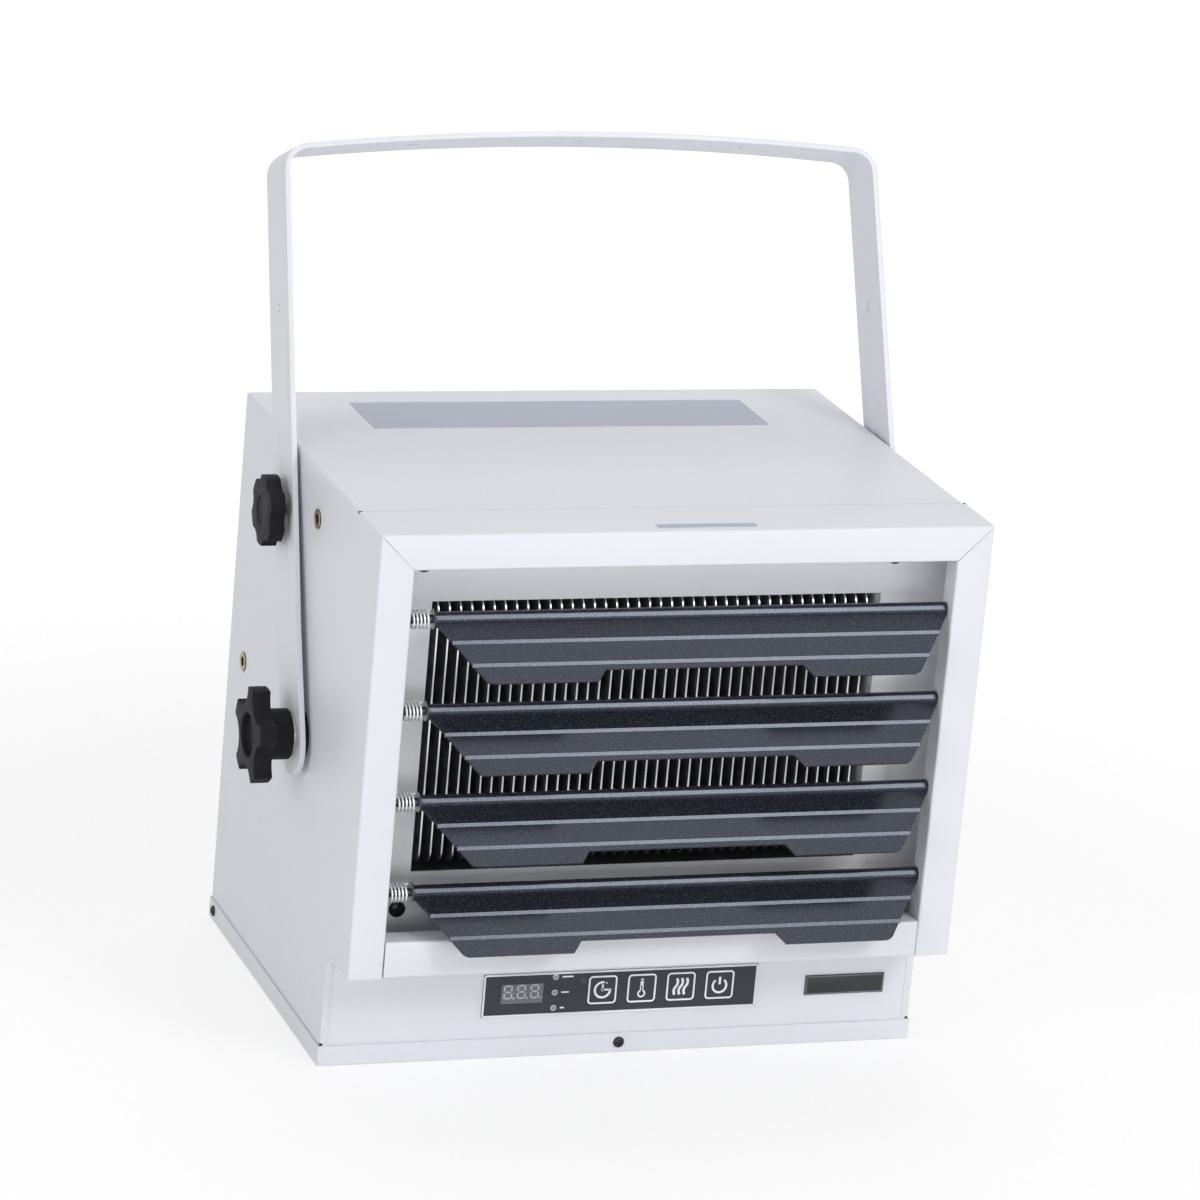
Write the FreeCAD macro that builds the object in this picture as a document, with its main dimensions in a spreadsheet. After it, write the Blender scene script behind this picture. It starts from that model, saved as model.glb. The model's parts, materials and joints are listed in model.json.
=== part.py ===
import FreeCAD, Part
import math
import os
import re
import Sketcher

from FreeCAD import Placement, Rotation, Vector

# Driving dimensions of the garage heater, in millimetres, degrees and counts. A value that starts with an
# equals sign is worked out by the sheet from the sizes above it and a named clearance.
SIZES = [
    # Casing: a folded wrap of top and sides, closed by panels and a tray
    ("casing_width", 368.0),
    ("casing_depth", 242.0),
    ("casing_top", 337.0),
    ("sheet", 1.0),
    ("bend_round", 2.0),
    ("rear_flange", 12.0),
    ("fit_gap", 0.1),
    ("tray_height", 12.5),
    ("tray_gap", 0.2),
    # Hood: the frame that stands out in front of the casing
    ("hood_outset", 1.0),
    ("hood_reach", 46.0),
    ("hood_border", 21.0),
    ("hood_bottom", 71.8),
    ("hood_return", 15.0),
    ("seam_gap", 0.5),
    ("mitre_width", 0.5),
    ("mitre_depth", 0.5),
    ("bar_height", 21.9),
    ("bar_shelf", 17.0),
    ("bar_end_gap", 0.4),
    # Air outlet and duct
    ("outlet_side", 46.5),
    ("outlet_above_hood", 47.3),
    ("outlet_below_top", 53.9),
    ("outlet_width", "=casing_width - 2 * outlet_side"),
    ("outlet_height", "=casing_top - outlet_below_top - hood_bottom - outlet_above_hood"),
    ("outlet_middle", "=(casing_top - outlet_below_top + hood_bottom + outlet_above_hood) / 2"),
    ("recess_flange", 14.0),
    ("recess_screw_side", 6.5),
    ("recess_screw_above", 22.7),
    ("duct_depth", 71.0),
    ("duct_flange_side", 12.0),
    ("duct_flange_end", 24.0),
    # Heating element
    ("fin_count", 40),
    ("fin_thick", 0.9),
    ("fin_side_gap", 5.6),
    ("fin_setback", 5.0),
    ("fin_rear_gap", 18.0),
    ("fin_clearance", 1.5),
    ("fin_pitch", "=(outlet_width - 2 * fin_side_gap - fin_thick) / (fin_count - 1)"),
    ("fin_depth", "=duct_depth + sheet - fin_setback - fin_rear_gap"),
    ("fin_height", "=outlet_height - 2 * fin_clearance"),
    ("fin_round", 8.0),
    ("tube_radius", 5.0),
    ("tube_edge", 31.0),
    ("tube_spacing", "=fin_height / 2 - tube_edge"),
    ("tube_fit", 0.05),
    ("sleeve_wall", 1.2),
    ("tube_overhang", 8.0),
    ("pin_radius", 2.0),
    ("pin_length", 12.0),
    ("end_plate", 2.0),
    ("end_plate_inset", 7.0),
    ("end_plate_step", 2.0),
    ("end_plate_height", "=outlet_height - 2 * end_plate_inset"),
    ("end_plate_depth", "=fin_depth - 2 * end_plate_step"),
    ("cutout_radius", 8.0),
    ("cutout_height", 7.0),
    ("cutout_flange", 12.0),
    # Fan and motor
    ("fan_margin", 8.0),
    ("fan_radius", "=outlet_height / 2 - fan_margin"),
    ("tip_gap", 4.0),
    ("fan_hub_radius", 18.0),
    ("fan_hub_length", 22.0),
    ("fan_setback", 6.0),
    ("blade_count", 5),
    ("blade_thick", 1.4),
    ("blade_root_chord", 24.0),
    ("blade_tip_chord", 46.0),
    ("blade_root_angle", 52.0),
    ("blade_tip_angle", 24.0),
    ("shroud_depth", 34.0),
    ("shroud_flange", 10.0),
    ("shaft_radius", 3.0),
    ("shaft_fit", 0.05),
    ("motor_gap", 10.0),
    ("motor_radius", 36.0),
    ("motor_length", 55.0),
    ("motor_nose_radius", 11.0),
    ("motor_nose", 6.0),
    ("bracket_width", 90.0),
    ("bracket_thick", 2.0),
    ("bracket_foot", 25.0),
    ("bracket_above", 45.0),
    ("shelf_above", 12.2),
    ("shelf_top", "=hood_bottom + shelf_above"),
    ("shelf_lip", 10.0),
    # Louvres, their rods and springs
    ("louver_count", 4),
    ("louver_top_gap", 31.6),
    ("louver_low_gap", 26.6),
    ("louver_top", "=casing_top - hood_border - louver_top_gap"),
    ("louver_pitch", "=(louver_top - hood_bottom - bar_height - louver_low_gap) / (louver_count - 1)"),
    ("louver_setback", 10.0),
    ("louver_angle", 43.0),
    ("louver_chord", 42.5),
    ("louver_plate", 1.6),
    ("louver_slant", 25.0),
    ("louver_end_gap", 0.3),
    ("bead_radius", 4.0),
    ("ridge_radius", 1.3),
    ("lip_cut_width", 130.0),
    ("lip_cut_slant", 5.5),
    ("lip_cut_depth", 7.4),
    ("rod_radius", 2.5),
    ("rod_fit", 0.08),
    ("rod_end", 2.0),
    ("collar_radius", 5.8),
    ("collar_thick", 0.8),
    ("spring_length", 15.7),
    ("spring_radius", 5.1),
    ("spring_wire", 1.2),
    ("spring_turns", 5),
    ("spring_end_gap", 0.3),
    # Yoke: a strap bent to a bow, hung on the two pivots
    ("pivot_forward", 42.0),
    ("nut_step", 22.5),
    ("nut_from_rear", 32.0),
    ("nut_below_top", 29.0),
    ("nut_arc", "=casing_depth / 2 + pivot_forward - nut_from_rear"),
    ("pivot_height", "=casing_top - nut_below_top - nut_arc"),
    ("strap_width", 40.0),
    ("strap_thick", 3.2),
    ("yoke_gap", 4.0),
    ("yoke_height", 349.8),
    ("yoke_bow", 8.0),
    ("yoke_lean", 5.0),
    ("lean_start", 60.0),
    ("yoke_corner", 12.0),
    ("leg_end", 24.0),
    ("leg_end_flat", 0.5),
    ("leg_end_round", "=strap_width / 2 - leg_end_flat"),
    ("leg_hole_radius", 3.0),
    ("leg_hole_at", 250.0),
    ("bar_hole_radius", 4.5),
    ("bar_hole_spacing", 103.0),
    # Knobs, washers and rivet nuts
    ("stud_radius", 3.0),
    ("stud_fit", 0.08),
    ("stud_grip", 7.0),
    ("flat_gap", 0.1),
    ("washer_fit", 0.3),
    ("washer_radius", 13.0),
    ("washer_thick", 1.6),
    ("spacer_radius", 14.0),
    ("star_radius", 28.5),
    ("star_thick", 11.0),
    ("star_lobes", 5),
    ("star_scallop", 13.5),
    ("star_scallop_at", 32.3),
    ("star_turn", 36.0),
    ("star_hub_radius", 15.0),
    ("star_hub", 13.4),
    ("star_dish_radius", 13.0),
    ("star_dish", 4.0),
    ("lock_radius", 21.0),
    ("lock_thick", 9.0),
    ("lock_lobes", 6),
    ("lock_scallop", 8.0),
    ("lock_scallop_at", 26.0),
    ("lock_turn", 30.0),
    ("lock_hub_radius", 11.0),
    ("lock_hub", 1.0),
    ("lock_dish_radius", 9.0),
    ("lock_dish", 0.5),
    ("lock_travel", 2.0),
    ("lock_seat", 0.3),
    ("lock_tip_gap", 0.4),
    ("lock_washer_radius", 10.0),
    ("lock_washer_thick", 1.2),
    ("nut_flange_radius", 6.0),
    ("nut_flange", 0.8),
    ("nut_body_radius", 4.4),
    ("nut_length", 10.0),
    ("nut_fit", 0.05),
    # Control panel, overlay and keys
    ("panel_lap", 5.0),
    ("panel_lip", 12.0),
    ("overlay_width", 171.0),
    ("overlay_height", 26.7),
    ("overlay_left", 1.3),
    ("overlay_middle", 39.1),
    ("overlay_thick", 0.8),
    ("key_size", 18.4),
    ("key_fit", 0.15),
    ("key_first", -12.9),
    ("key_pitch", 24.5),
    ("key_above", 1.1),
    ("key_middle", "=overlay_middle + key_above"),
    ("key_rim", 0.9),
    ("key_rim_thick", 1.0),
    ("key_stem_radius", 2.5),
    ("press_gap", 0.6),
    ("display_width", 26.0),
    ("display_height", 12.2),
    ("display_left", 62.6),
    ("display_below", 0.4),
    ("display_middle", "=key_middle - display_below"),
    ("lamp_left", 42.6),
    ("lamp_radius", 1.8),
    ("lamp_pitch", 9.75),
    ("lamp_proud", 0.4),
    ("window_radius", 2.2),
    ("window_gap", 0.2),
    ("window_above", 7.5),
    ("window_left", "=key_size / 2 - key_first + key_rim + window_gap + window_radius"),
    ("window_up", "=overlay_middle + window_above"),
    ("post_radius", 3.0),
    ("board_setback", 10.0),
    ("board_thick", 1.6),
    ("board_width", 164.0),
    ("board_height", 36.0),
    ("switch_size", 6.0),
    ("switch_height", 3.5),
    ("plunger_radius", 1.7),
    ("plunger_height", 1.0),
    ("badge_width", 50.4),
    ("badge_height", 12.4),
    ("badge_offset", 5.8),
    ("badge_right", "=(overlay_width + casing_width) / 4 + badge_offset"),
    ("badge_middle", 37.2),
    ("badge_thick", 1.0),
    ("label_width", 250.0),
    ("label_depth", 54.0),
    ("label_left", 2.0),
    ("label_back", 69.5),
    ("label_thick", 0.3),
    ("strip_width", 60.0),
    ("strip_depth", 6.0),
    ("strip_right", 11.0),
    ("strip_setback", 10.0),
    # Power electronics on the tray
    ("power_width", 120.0),
    ("power_depth", 100.0),
    ("power_back", 10.0),
    ("standoff", 6.0),
    ("standoff_radius", 3.5),
    ("relay_length", 28.0),
    ("relay_width", 12.5),
    ("relay_height", 15.5),
    ("relay_pitch", 36.0),
    ("block_length", 50.0),
    ("block_width", 22.0),
    ("block_height", 20.0),
    ("block_right", 105.0),
    ("block_back", 82.0),
    ("gland_right", 120.0),
    ("gland_up", 46.0),
    ("gland_bore", 5.0),
    ("gland_neck", 8.0),
    ("gland_radius", 11.5),
    ("gland_outside", 18.0),
    ("gland_inside", 8.0),
    # Rear intake grille
    ("grille_radius", 98.0),
    ("grille_rows", 17),
    ("grille_pitch", 10.5),
    ("grille_slot", 5.5),
    ("grille_rib", 8.0),
    # Screws
    ("screw_radius", 1.6),
    ("screw_fit", 0.15),
    ("screw_length", 7.0),
    ("screw_head_radius", 3.4),
    ("screw_head", 1.7),
    ("tray_screw_up", 6.6),
    ("tray_screw_from_rear", 9.0),
    ("rear_screw_low", 42.0),
    ("rear_screw_below_top", 12.0),
    ("rear_screw_high", "=casing_top - rear_screw_below_top"),
    ("recess_head_radius", 5.0),
    ("recess_head", 2.2),
]
NAMES = {name for name, value in SIZES}

# Planes and places that several pieces share, as formulas of the driving dimensions.
HALF = "(casing_width / 2)"
FRONT = "(-casing_depth / 2)"
REAR = "(casing_depth / 2)"
INNER_HALF = "(casing_width / 2 - sheet - fit_gap)"
INNER_TOP = "(casing_top - sheet - fit_gap)"
HOOD_HALF = "(casing_width / 2 + hood_outset)"
HOOD_FRONT = "(-casing_depth / 2 - hood_reach)"
HOOD_REAR = "(-casing_depth / 2 - seam_gap)"
MOUTH_HALF = "(casing_width / 2 + hood_outset - hood_border)"
MOUTH_TOP = "(casing_top - hood_border)"
RECESS = "(-casing_depth / 2 - sheet)"
OUTLET_HALF = "(outlet_width / 2)"
OUTLET_LOW = "(outlet_middle - outlet_height / 2)"
OUTLET_HIGH = "(outlet_middle + outlet_height / 2)"
DUCT_END = "(-casing_depth / 2 + duct_depth)"
FIN_FRONT = "(-casing_depth / 2 - sheet + fin_setback)"
FIN_MIDDLE = "(-casing_depth / 2 - sheet + fin_setback + fin_depth / 2)"
FAN_FRONT = "(-casing_depth / 2 + duct_depth + sheet + fan_setback)"
FAN_REAR = "(-casing_depth / 2 + duct_depth + sheet + fan_setback + fan_hub_length)"
MOTOR_FRONT = f"({FAN_REAR} + motor_gap + motor_nose)"
MOTOR_REAR = f"({MOTOR_FRONT} + motor_length)"
PIVOT_Y = "(-pivot_forward)"
LOUVER_Y = f"({HOOD_FRONT} + louver_setback)"
LOUVER_LEFT = f"(-{MOUTH_HALF} + spring_length + collar_thick)"
LOUVER_RIGHT = f"({MOUTH_HALF} - louver_end_gap)"
LEG_INNER = f"({HALF} + yoke_gap)"
LEG_OUTER = f"({HALF} + yoke_gap + strap_thick)"
LOCK_LEG = f"({LEG_OUTER} - yoke_lean * (nut_arc - lean_start) / (yoke_height - lean_start))"
LOCK_Y = f"({PIVOT_Y} + nut_arc * sin(nut_step))"
LOCK_Z = "(pivot_height + nut_arc * cos(nut_step))"
PANEL_TOP = "(hood_bottom + panel_lap)"
PANEL_BACK = "(-casing_depth / 2 + sheet)"
OVERLAY_FRONT = "(-casing_depth / 2 - overlay_thick)"
BOARD = "(-casing_depth / 2 + sheet + board_setback)"
SWITCH_FRONT = f"({BOARD} - switch_height - plunger_height)"
SLEEVE = "(tube_radius + tube_fit + sleeve_wall)"
FIN_HALF = "((fin_count - 1) * fin_pitch / 2 + fin_thick / 2)"
TUBE_ROWS = (-1, 0, 1)
NUT_STEPS = (0, 1, 2, 4)
SIDES = {"left": -1, "right": 1}
KEYS = ("timer", "temperature", "mode", "power")
BEYOND = 5.0
NODES = {}

doc = FreeCAD.newDocument("garage_heater")
sizes = doc.addObject("Spreadsheet::Sheet", "sizes")
for row, (alias, number) in enumerate(SIZES, 1):
    sizes.set(f"A{row}", alias)
    sizes.set(f"B{row}", str(number))
    sizes.setAlias(f"B{row}", alias)
doc.recompute()


def given(alias):
    """Returns one driving dimension as a number."""
    return float(sizes.get(alias))


def formula(text):
    """Returns a formula with each driving dimension pointing at its cell."""
    return re.sub(r"[a-z_]+", lambda word: f"sizes.{word[0]}" if word[0] in NAMES else word[0], text)


def bind(item, path, text):
    """Ties one property of an object to a formula of the driving dimensions."""
    item.setExpression(path, formula(text))


def place(item, x="0", y="0", z="0"):
    """Ties an object's position to three formulas."""
    for axis, text in zip("xyz", (x, y, z)):
        bind(item, f".Placement.Base.{axis}", text)
    return item


def node(name, item):
    """Names a finished sub-part and keeps it for export."""
    item.Label = name
    NODES[name] = item
    return item


def box(name, x, y, z):
    """Makes a block from a (low, high) pair of formulas along each axis."""
    block = doc.addObject("Part::Box", name)
    for side, (low, high) in zip(("Length", "Width", "Height"), (x, y, z)):
        bind(block, side, f"({high}) - ({low})")
    return place(block, x[0], y[0], z[0])


def rod(name, radius, axis, start, end, first="0", second="0"):
    """Makes a cylinder along an axis; first and second are its other two coordinates, in x, y, z order."""
    turn = {"x": Rotation(Vector(0, 1, 0), 90), "y": Rotation(Vector(1, 0, 0), -90), "z": Rotation()}
    spots = {"x": (start, first, second), "y": (first, start, second), "z": (first, second, start)}
    cylinder = doc.addObject("Part::Cylinder", name)
    cylinder.Placement = Placement(Vector(), turn[axis])
    bind(cylinder, "Radius", radius)
    bind(cylinder, "Height", f"({end}) - ({start})")
    return place(cylinder, *spots[axis])


def fuse(name, items):
    """Joins several shapes into one."""
    joined = doc.addObject("Part::MultiFuse", name)
    joined.Shapes = items
    joined.Refine = True
    return joined


def cut(name, base, tools):
    """Takes one or more shapes away from a base."""
    result = doc.addObject("Part::Cut", name)
    result.Base = base
    result.Tool = tools[0] if len(tools) == 1 else fuse(f"{name}_tools", tools)
    return result


def group(name, items):
    """Keeps several separate solids together as one object."""
    bundle = doc.addObject("Part::Compound", name)
    bundle.Links = items
    return bundle


def feature(name, shape):
    """Holds a shape that was made by code."""
    item = doc.addObject("Part::Feature", name)
    item.Shape = shape
    return item


def body_of(name):
    """Starts a sub-part that is built from sketches."""
    return doc.addObject("PartDesign::Body", name)


def sketch_in(body, name, role, offset=None):
    """Adds a sketch on one of the body's own planes, moved along the plane's normal by a formula."""
    drawing = body.newObject("Sketcher::SketchObject", name)
    plane = next(item for item in body.Origin.OriginFeatures if item.Role == role)
    drawing.AttachmentSupport = [(plane, "")]
    drawing.MapMode = "FlatFace"
    if offset:
        bind(drawing, ".AttachmentOffset.Base.z", offset)
    return drawing


def dimension(drawing, kind, geometry, point, text):
    """Adds one dimension to a sketch and ties it to a formula."""
    ends = (-1, 1, geometry, point) if kind != "Radius" else (geometry,)
    index = drawing.addConstraint(Sketcher.Constraint(kind, *ends, 1.0 + geometry))
    bind(drawing, f"Constraints[{index}]", text)


def polygon(drawing, corners):
    """Draws a closed outline whose corners are pairs of formulas."""
    first = drawing.GeometryCount
    count = len(corners)
    for step in range(count):
        start = Vector(math.cos(step), math.sin(step), 0)
        end = Vector(math.cos(step + 1), math.sin(step + 1), 0)
        drawing.addGeometry(Part.LineSegment(start, end), False)
    for step, (across, up) in enumerate(corners):
        after = first + (step + 1) % count
        drawing.addConstraint(Sketcher.Constraint("Coincident", first + step, 2, after, 1))
        dimension(drawing, "DistanceX", first + step, 1, across)
        dimension(drawing, "DistanceY", first + step, 1, up)


def rectangle(drawing, x, y):
    """Draws a rectangle from (low, high) pairs of formulas."""
    polygon(drawing, [(x[0], y[0]), (x[1], y[0]), (x[1], y[1]), (x[0], y[1])])


def circle(drawing, across, up, radius):
    """Draws a circle from three formulas."""
    index = drawing.addGeometry(Part.Circle(Vector(1, 1, 0), Vector(0, 0, 1), 1.0), False)
    dimension(drawing, "DistanceX", index, 3, across)
    dimension(drawing, "DistanceY", index, 3, up)
    dimension(drawing, "Radius", index, 3, radius)


def pad(body, drawing, length, symmetric=False, reverse=False):
    """Adds material by extruding a sketch."""
    solid = body.newObject("PartDesign::Pad", f"{drawing.Name}_pad")
    solid.Profile = drawing
    bind(solid, "Length", length)
    solid.Reversed = reverse
    if symmetric:
        solid.SideType = "Symmetric"
    return solid


def pocket(body, drawing, depth=None, reverse=False):
    """Removes material along a sketch, right through both ways unless a depth is given."""
    hole = body.newObject("PartDesign::Pocket", f"{drawing.Name}_pocket")
    hole.Profile = drawing
    if depth:
        bind(hole, "Length", depth)
        hole.Reversed = reverse
    else:
        hole.Type = "ThroughAll"
        hole.SideType = "Symmetric"
    return hole


def fillet(body, radius, wanted):
    """Rounds the edges of the body's last feature whose middle point passes a test."""
    doc.recompute()
    base = body.Tip
    picked = [f"Edge{index}" for index, edge in enumerate(base.Shape.Edges, 1) if wanted(edge)]
    rounded = body.newObject("PartDesign::Fillet", f"{body.Name}_round")
    rounded.Base = (base, picked)
    bind(rounded, "Radius", radius)
    return rounded


def close_to(value, target):
    """Tells whether two lengths agree."""
    return abs(value - target) < 0.001


# Casing wrap: one sheet folded over the top and both sides, with a flange round the rear
def make_casing_wrap():
    body = body_of("casing_wrap")
    profile = sketch_in(body, "wrap_profile", "XZ_Plane")
    outer = [(f"-{HALF}", "sheet"), (f"-{HALF}", "casing_top"), (HALF, "casing_top"), (HALF, "sheet")]
    wall = f"({HALF} - sheet)"
    roof = "(casing_top - sheet)"
    inner = [(wall, "sheet"), (wall, roof), (f"-{wall}", roof), (f"-{wall}", "sheet")]
    polygon(profile, outer + inner)
    pad(body, profile, "casing_depth", symmetric=True)
    flange = sketch_in(body, "wrap_flange", "XZ_Plane", f"sheet - {REAR}")
    edge = f"({wall} - rear_flange)"
    under = f"({roof} - rear_flange)"
    ring = [(f"-{wall}", "tray_height"), (f"-{wall}", roof), (wall, roof), (wall, "tray_height")]
    polygon(flange, ring + [(edge, "tray_height"), (edge, under), (f"-{edge}", under),
                            (f"-{edge}", "tray_height")])
    pad(body, flange, "sheet")
    side_holes = sketch_in(body, "wrap_side_holes", "YZ_Plane")
    for across, up in nut_places():
        circle(side_holes, across, up, "nut_body_radius + nut_fit")
    circle(side_holes, f"{REAR} - tray_screw_from_rear", "tray_screw_up", "screw_radius + screw_fit")
    pocket(body, side_holes)
    rear_holes = sketch_in(body, "wrap_rear_holes", "XZ_Plane")
    for across, up in rear_screw_places():
        circle(rear_holes, across, up, "screw_radius + screw_fit")
    pocket(body, rear_holes)
    corner = given("casing_width") / 2
    fillet(body, "bend_round", lambda edge: close_to(abs(edge.CenterOfMass.x), corner)
           and close_to(edge.CenterOfMass.z, given("casing_top")) and edge.BoundBox.YLength > corner)
    node("casing_wrap", body)


def nut_places():
    """Returns the y and z formulas of one side's rivet nuts: the pivot, then the arc of lock positions."""
    arc = [(f"{PIVOT_Y} + nut_arc * sin({step} * nut_step)",
            f"pivot_height + nut_arc * cos({step} * nut_step)")
           for step in NUT_STEPS]
    return [(PIVOT_Y, "pivot_height")] + arc


def rear_screw_places():
    """Returns the x and z formulas of the rear panel's screws, down the two side flanges."""
    across = f"({HALF} - sheet - rear_flange / 2)"
    heights = ("rear_screw_low", "(rear_screw_low + rear_screw_high) / 2", "rear_screw_high")
    return [(f"{sign} * {across}", up) for sign in (-1, 1) for up in heights]


# Rear panel: flat plate inside the wrap, with the fan's slotted intake
def make_rear_panel():
    body = body_of("rear_panel")
    plate = sketch_in(body, "rear_plate", "XZ_Plane", f"-{REAR}")
    rectangle(plate, (f"-{INNER_HALF}", INNER_HALF), ("sheet", INNER_TOP))
    pad(body, plate, "sheet")
    slots = sketch_in(body, "rear_slots", "XZ_Plane")
    radius = given("grille_radius")
    half_slot = given("grille_slot") / 2
    rows = int(given("grille_rows"))
    for row in range(rows):
        rise = (row - (rows - 1) / 2) * given("grille_pitch")
        reach = math.sqrt(radius ** 2 - rise ** 2) - half_slot
        near = given("grille_rib") / 2 + half_slot
        for sign in (-1, 1):
            draw_slot(slots, sorted((sign * near, sign * reach)), given("outlet_middle") + rise, half_slot)
    pocket(body, slots)
    holes = sketch_in(body, "rear_holes", "XZ_Plane")
    circle(holes, "gland_right", "gland_up", "gland_neck + fit_gap")
    for across, up in rear_screw_places() + [("0", "tray_screw_up")]:
        circle(holes, across, up, "screw_radius + screw_fit")
    pocket(body, holes)
    node("rear_panel", body)


def draw_slot(drawing, span, up, half_width):
    """Draws a slot with round ends between two x places."""
    left, right = (Vector(x, up, 0) for x in span)
    lift = Vector(0, half_width, 0)
    drawing.addGeometry(Part.LineSegment(left + lift, right + lift), False)
    drawing.addGeometry(Part.LineSegment(right - lift, left - lift), False)
    for middle, start in ((right, -math.pi / 2), (left, math.pi / 2)):
        ring = Part.Circle(middle, Vector(0, 0, 1), half_width)
        drawing.addGeometry(Part.ArcOfCircle(ring, start, start + math.pi), False)


# Base tray: shallow pan that wraps outside the casing's lower edge
def make_base_tray():
    side = f"({HALF} + tray_gap)"
    back = f"({REAR} + tray_gap)"
    outer = box("tray_outer", (f"-{side} - sheet", f"{side} + sheet"),
                (f"-{back} - sheet", f"{back} + sheet"),
                ("0", "tray_height"))
    inner = box("tray_inner", (f"-{side}", side), (f"-{back}", back), ("sheet", f"tray_height + {BEYOND}"))
    hole = "screw_radius + screw_fit"
    front = rod("tray_front_hole", hole, "y", f"-{back} - {BEYOND}", f"-{back} + {BEYOND}", "0",
                "tray_screw_up")
    rear = rod("tray_rear_hole", hole, "y", f"{back} - {BEYOND}", f"{back} + {BEYOND}", "0", "tray_screw_up")
    across = rod("tray_side_hole", hole, "x", f"-{side} - {BEYOND}", f"{side} + {BEYOND}",
                 f"{REAR} - tray_screw_from_rear", "tray_screw_up")
    node("base_tray", cut("base_tray", outer, [inner, front, rear, across]))


# Hood: outer shell, front borders with mitred corners, and inner returns
def make_front_hood():
    shell = box("hood_shell", (f"-{HOOD_HALF}", HOOD_HALF), (HOOD_FRONT, HOOD_REAR),
                ("hood_bottom", "casing_top"))
    cavity = box("hood_cavity", (f"-{HOOD_HALF} + sheet", f"{HOOD_HALF} - sheet"),
                 (f"{HOOD_FRONT} + sheet", "0"),
                 ("hood_bottom + sheet", "casing_top - sheet"))
    mouth = box("hood_mouth", (f"-{MOUTH_HALF}", MOUTH_HALF), (f"{HOOD_FRONT} - {BEYOND}", "0"),
                (f"hood_bottom - {BEYOND}", MOUTH_TOP))
    heel = box("hood_heel", (f"-{HOOD_HALF} + sheet", f"{HOOD_HALF} - sheet"), (f"{RECESS} - fit_gap", "0"),
               (f"hood_bottom - {BEYOND}", "hood_bottom + 2 * sheet"))
    open_shell = cut("hood_open_shell", shell, [cavity, mouth, heel])
    depth = (HOOD_FRONT, f"{HOOD_FRONT} + hood_return")
    returns = [box(f"hood_return_{name}", tuple(sorted_pair(sign, MOUTH_HALF, f"({MOUTH_HALF} + sheet)")),
                   depth,
                   ("hood_bottom", f"{MOUTH_TOP} + sheet")) for name, sign in SIDES.items()]
    top_return = box("hood_return_top", (f"-{MOUTH_HALF}", MOUTH_HALF), depth,
                     (MOUTH_TOP, f"{MOUTH_TOP} + sheet"))
    frame = fuse("hood_frame", [open_shell, top_return] + returns)
    holes = [rod(f"hood_rod_hole_{index}", "rod_radius + rod_fit", "x", f"-{MOUTH_HALF} - {BEYOND}",
                 f"{MOUTH_HALF} + {BEYOND}", LOUVER_Y, louver_height(index)) for index in louvers()]
    node("front_hood", cut("front_hood", frame, holes + [mitre_groove(sign) for sign in SIDES.values()]))


def sorted_pair(sign, near, far):
    """Returns the (low, high) formulas of a span on the left (-1) or right (1) of the middle."""
    return (near, far) if sign > 0 else (f"-{far}", f"-{near}")


def mitre_groove(sign):
    """Makes the thin cut along the mitre at one upper corner of the hood."""
    groove = doc.addObject("Part::Box", "mitre_left" if sign < 0 else "mitre_right")
    groove.Placement = Placement(Vector(), Rotation(Vector(0, 1, 0), 45 * sign + 180))
    bind(groove, "Length", "mitre_width")
    bind(groove, "Width", "mitre_depth")
    bind(groove, "Height", "hood_border * 1.5")
    return place(groove, f"{sign} * {HOOD_HALF} + mitre_width / 2 * 0.7071", HOOD_FRONT,
                 f"casing_top + {sign} * mitre_width / 2 * 0.7071")


# Lower bar: channel between the hood's side borders
def make_lower_bar():
    end = f"({MOUTH_HALF} - bar_end_gap)"
    across = (f"-{end}", end)
    top = "(hood_bottom + bar_height)"
    face = box("bar_face", across, (HOOD_FRONT, f"{HOOD_FRONT} + sheet"), ("hood_bottom", top))
    shelf = box("bar_shelf_plate", across, (HOOD_FRONT, f"{HOOD_FRONT} + bar_shelf"), (f"{top} - sheet", top))
    lip = box("bar_shelf_lip", across, (f"{HOOD_FRONT} + bar_shelf - sheet", f"{HOOD_FRONT} + bar_shelf"),
              (f"{top} - bar_height / 3", top))
    floor = box("bar_floor", across, (HOOD_FRONT, RECESS), ("hood_bottom", "hood_bottom + sheet"))
    node("lower_bar", fuse("lower_bar", [face, shelf, lip, floor]))


# Recess panel: pan behind the hood with the air outlet
def make_recess_panel():
    side = f"({HOOD_HALF} - sheet - fit_gap)"
    top = INNER_TOP
    low = "hood_bottom"
    pan = box("recess_pan", (f"-{side}", side), (f"{RECESS} - recess_flange", FRONT), (low, top))
    hollow = box("recess_hollow", (f"-{side} + sheet", f"{side} - sheet"),
                 (f"{RECESS} - recess_flange - 1", RECESS),
                 (f"hood_bottom - {BEYOND}", f"{top} - sheet"))
    clear = box("recess_foot_clear", (f"-{side} - 1", f"{side} + 1"),
                (f"{RECESS} - recess_flange - 1", RECESS),
                (f"hood_bottom - {BEYOND}", "hood_bottom + sheet + fit_gap"))
    outlet = box("recess_outlet", (f"-{OUTLET_HALF}", OUTLET_HALF),
                 (f"{RECESS} - {BEYOND}", f"{RECESS} + {BEYOND}"),
                 (OUTLET_LOW, OUTLET_HIGH))
    holes = [rod(f"recess_hole_{index}", "screw_radius + screw_fit", "y", f"{RECESS} - 1", f"{FRONT} + 1",
                 across, up)
             for index, (across, up) in enumerate(recess_screw_places())]
    node("recess_panel", cut("recess_panel", pan, [hollow, clear, outlet] + holes))


def recess_screw_places():
    """Returns the x and z formulas of the four screws round the outlet."""
    across = f"({OUTLET_HALF} + recess_screw_side)"
    heights = (f"({OUTLET_LOW} - recess_screw_above)", f"({OUTLET_HIGH} + recess_screw_above)")
    return [(f"{sign} * {across}", up) for sign in (-1, 1) for up in heights]


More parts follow.
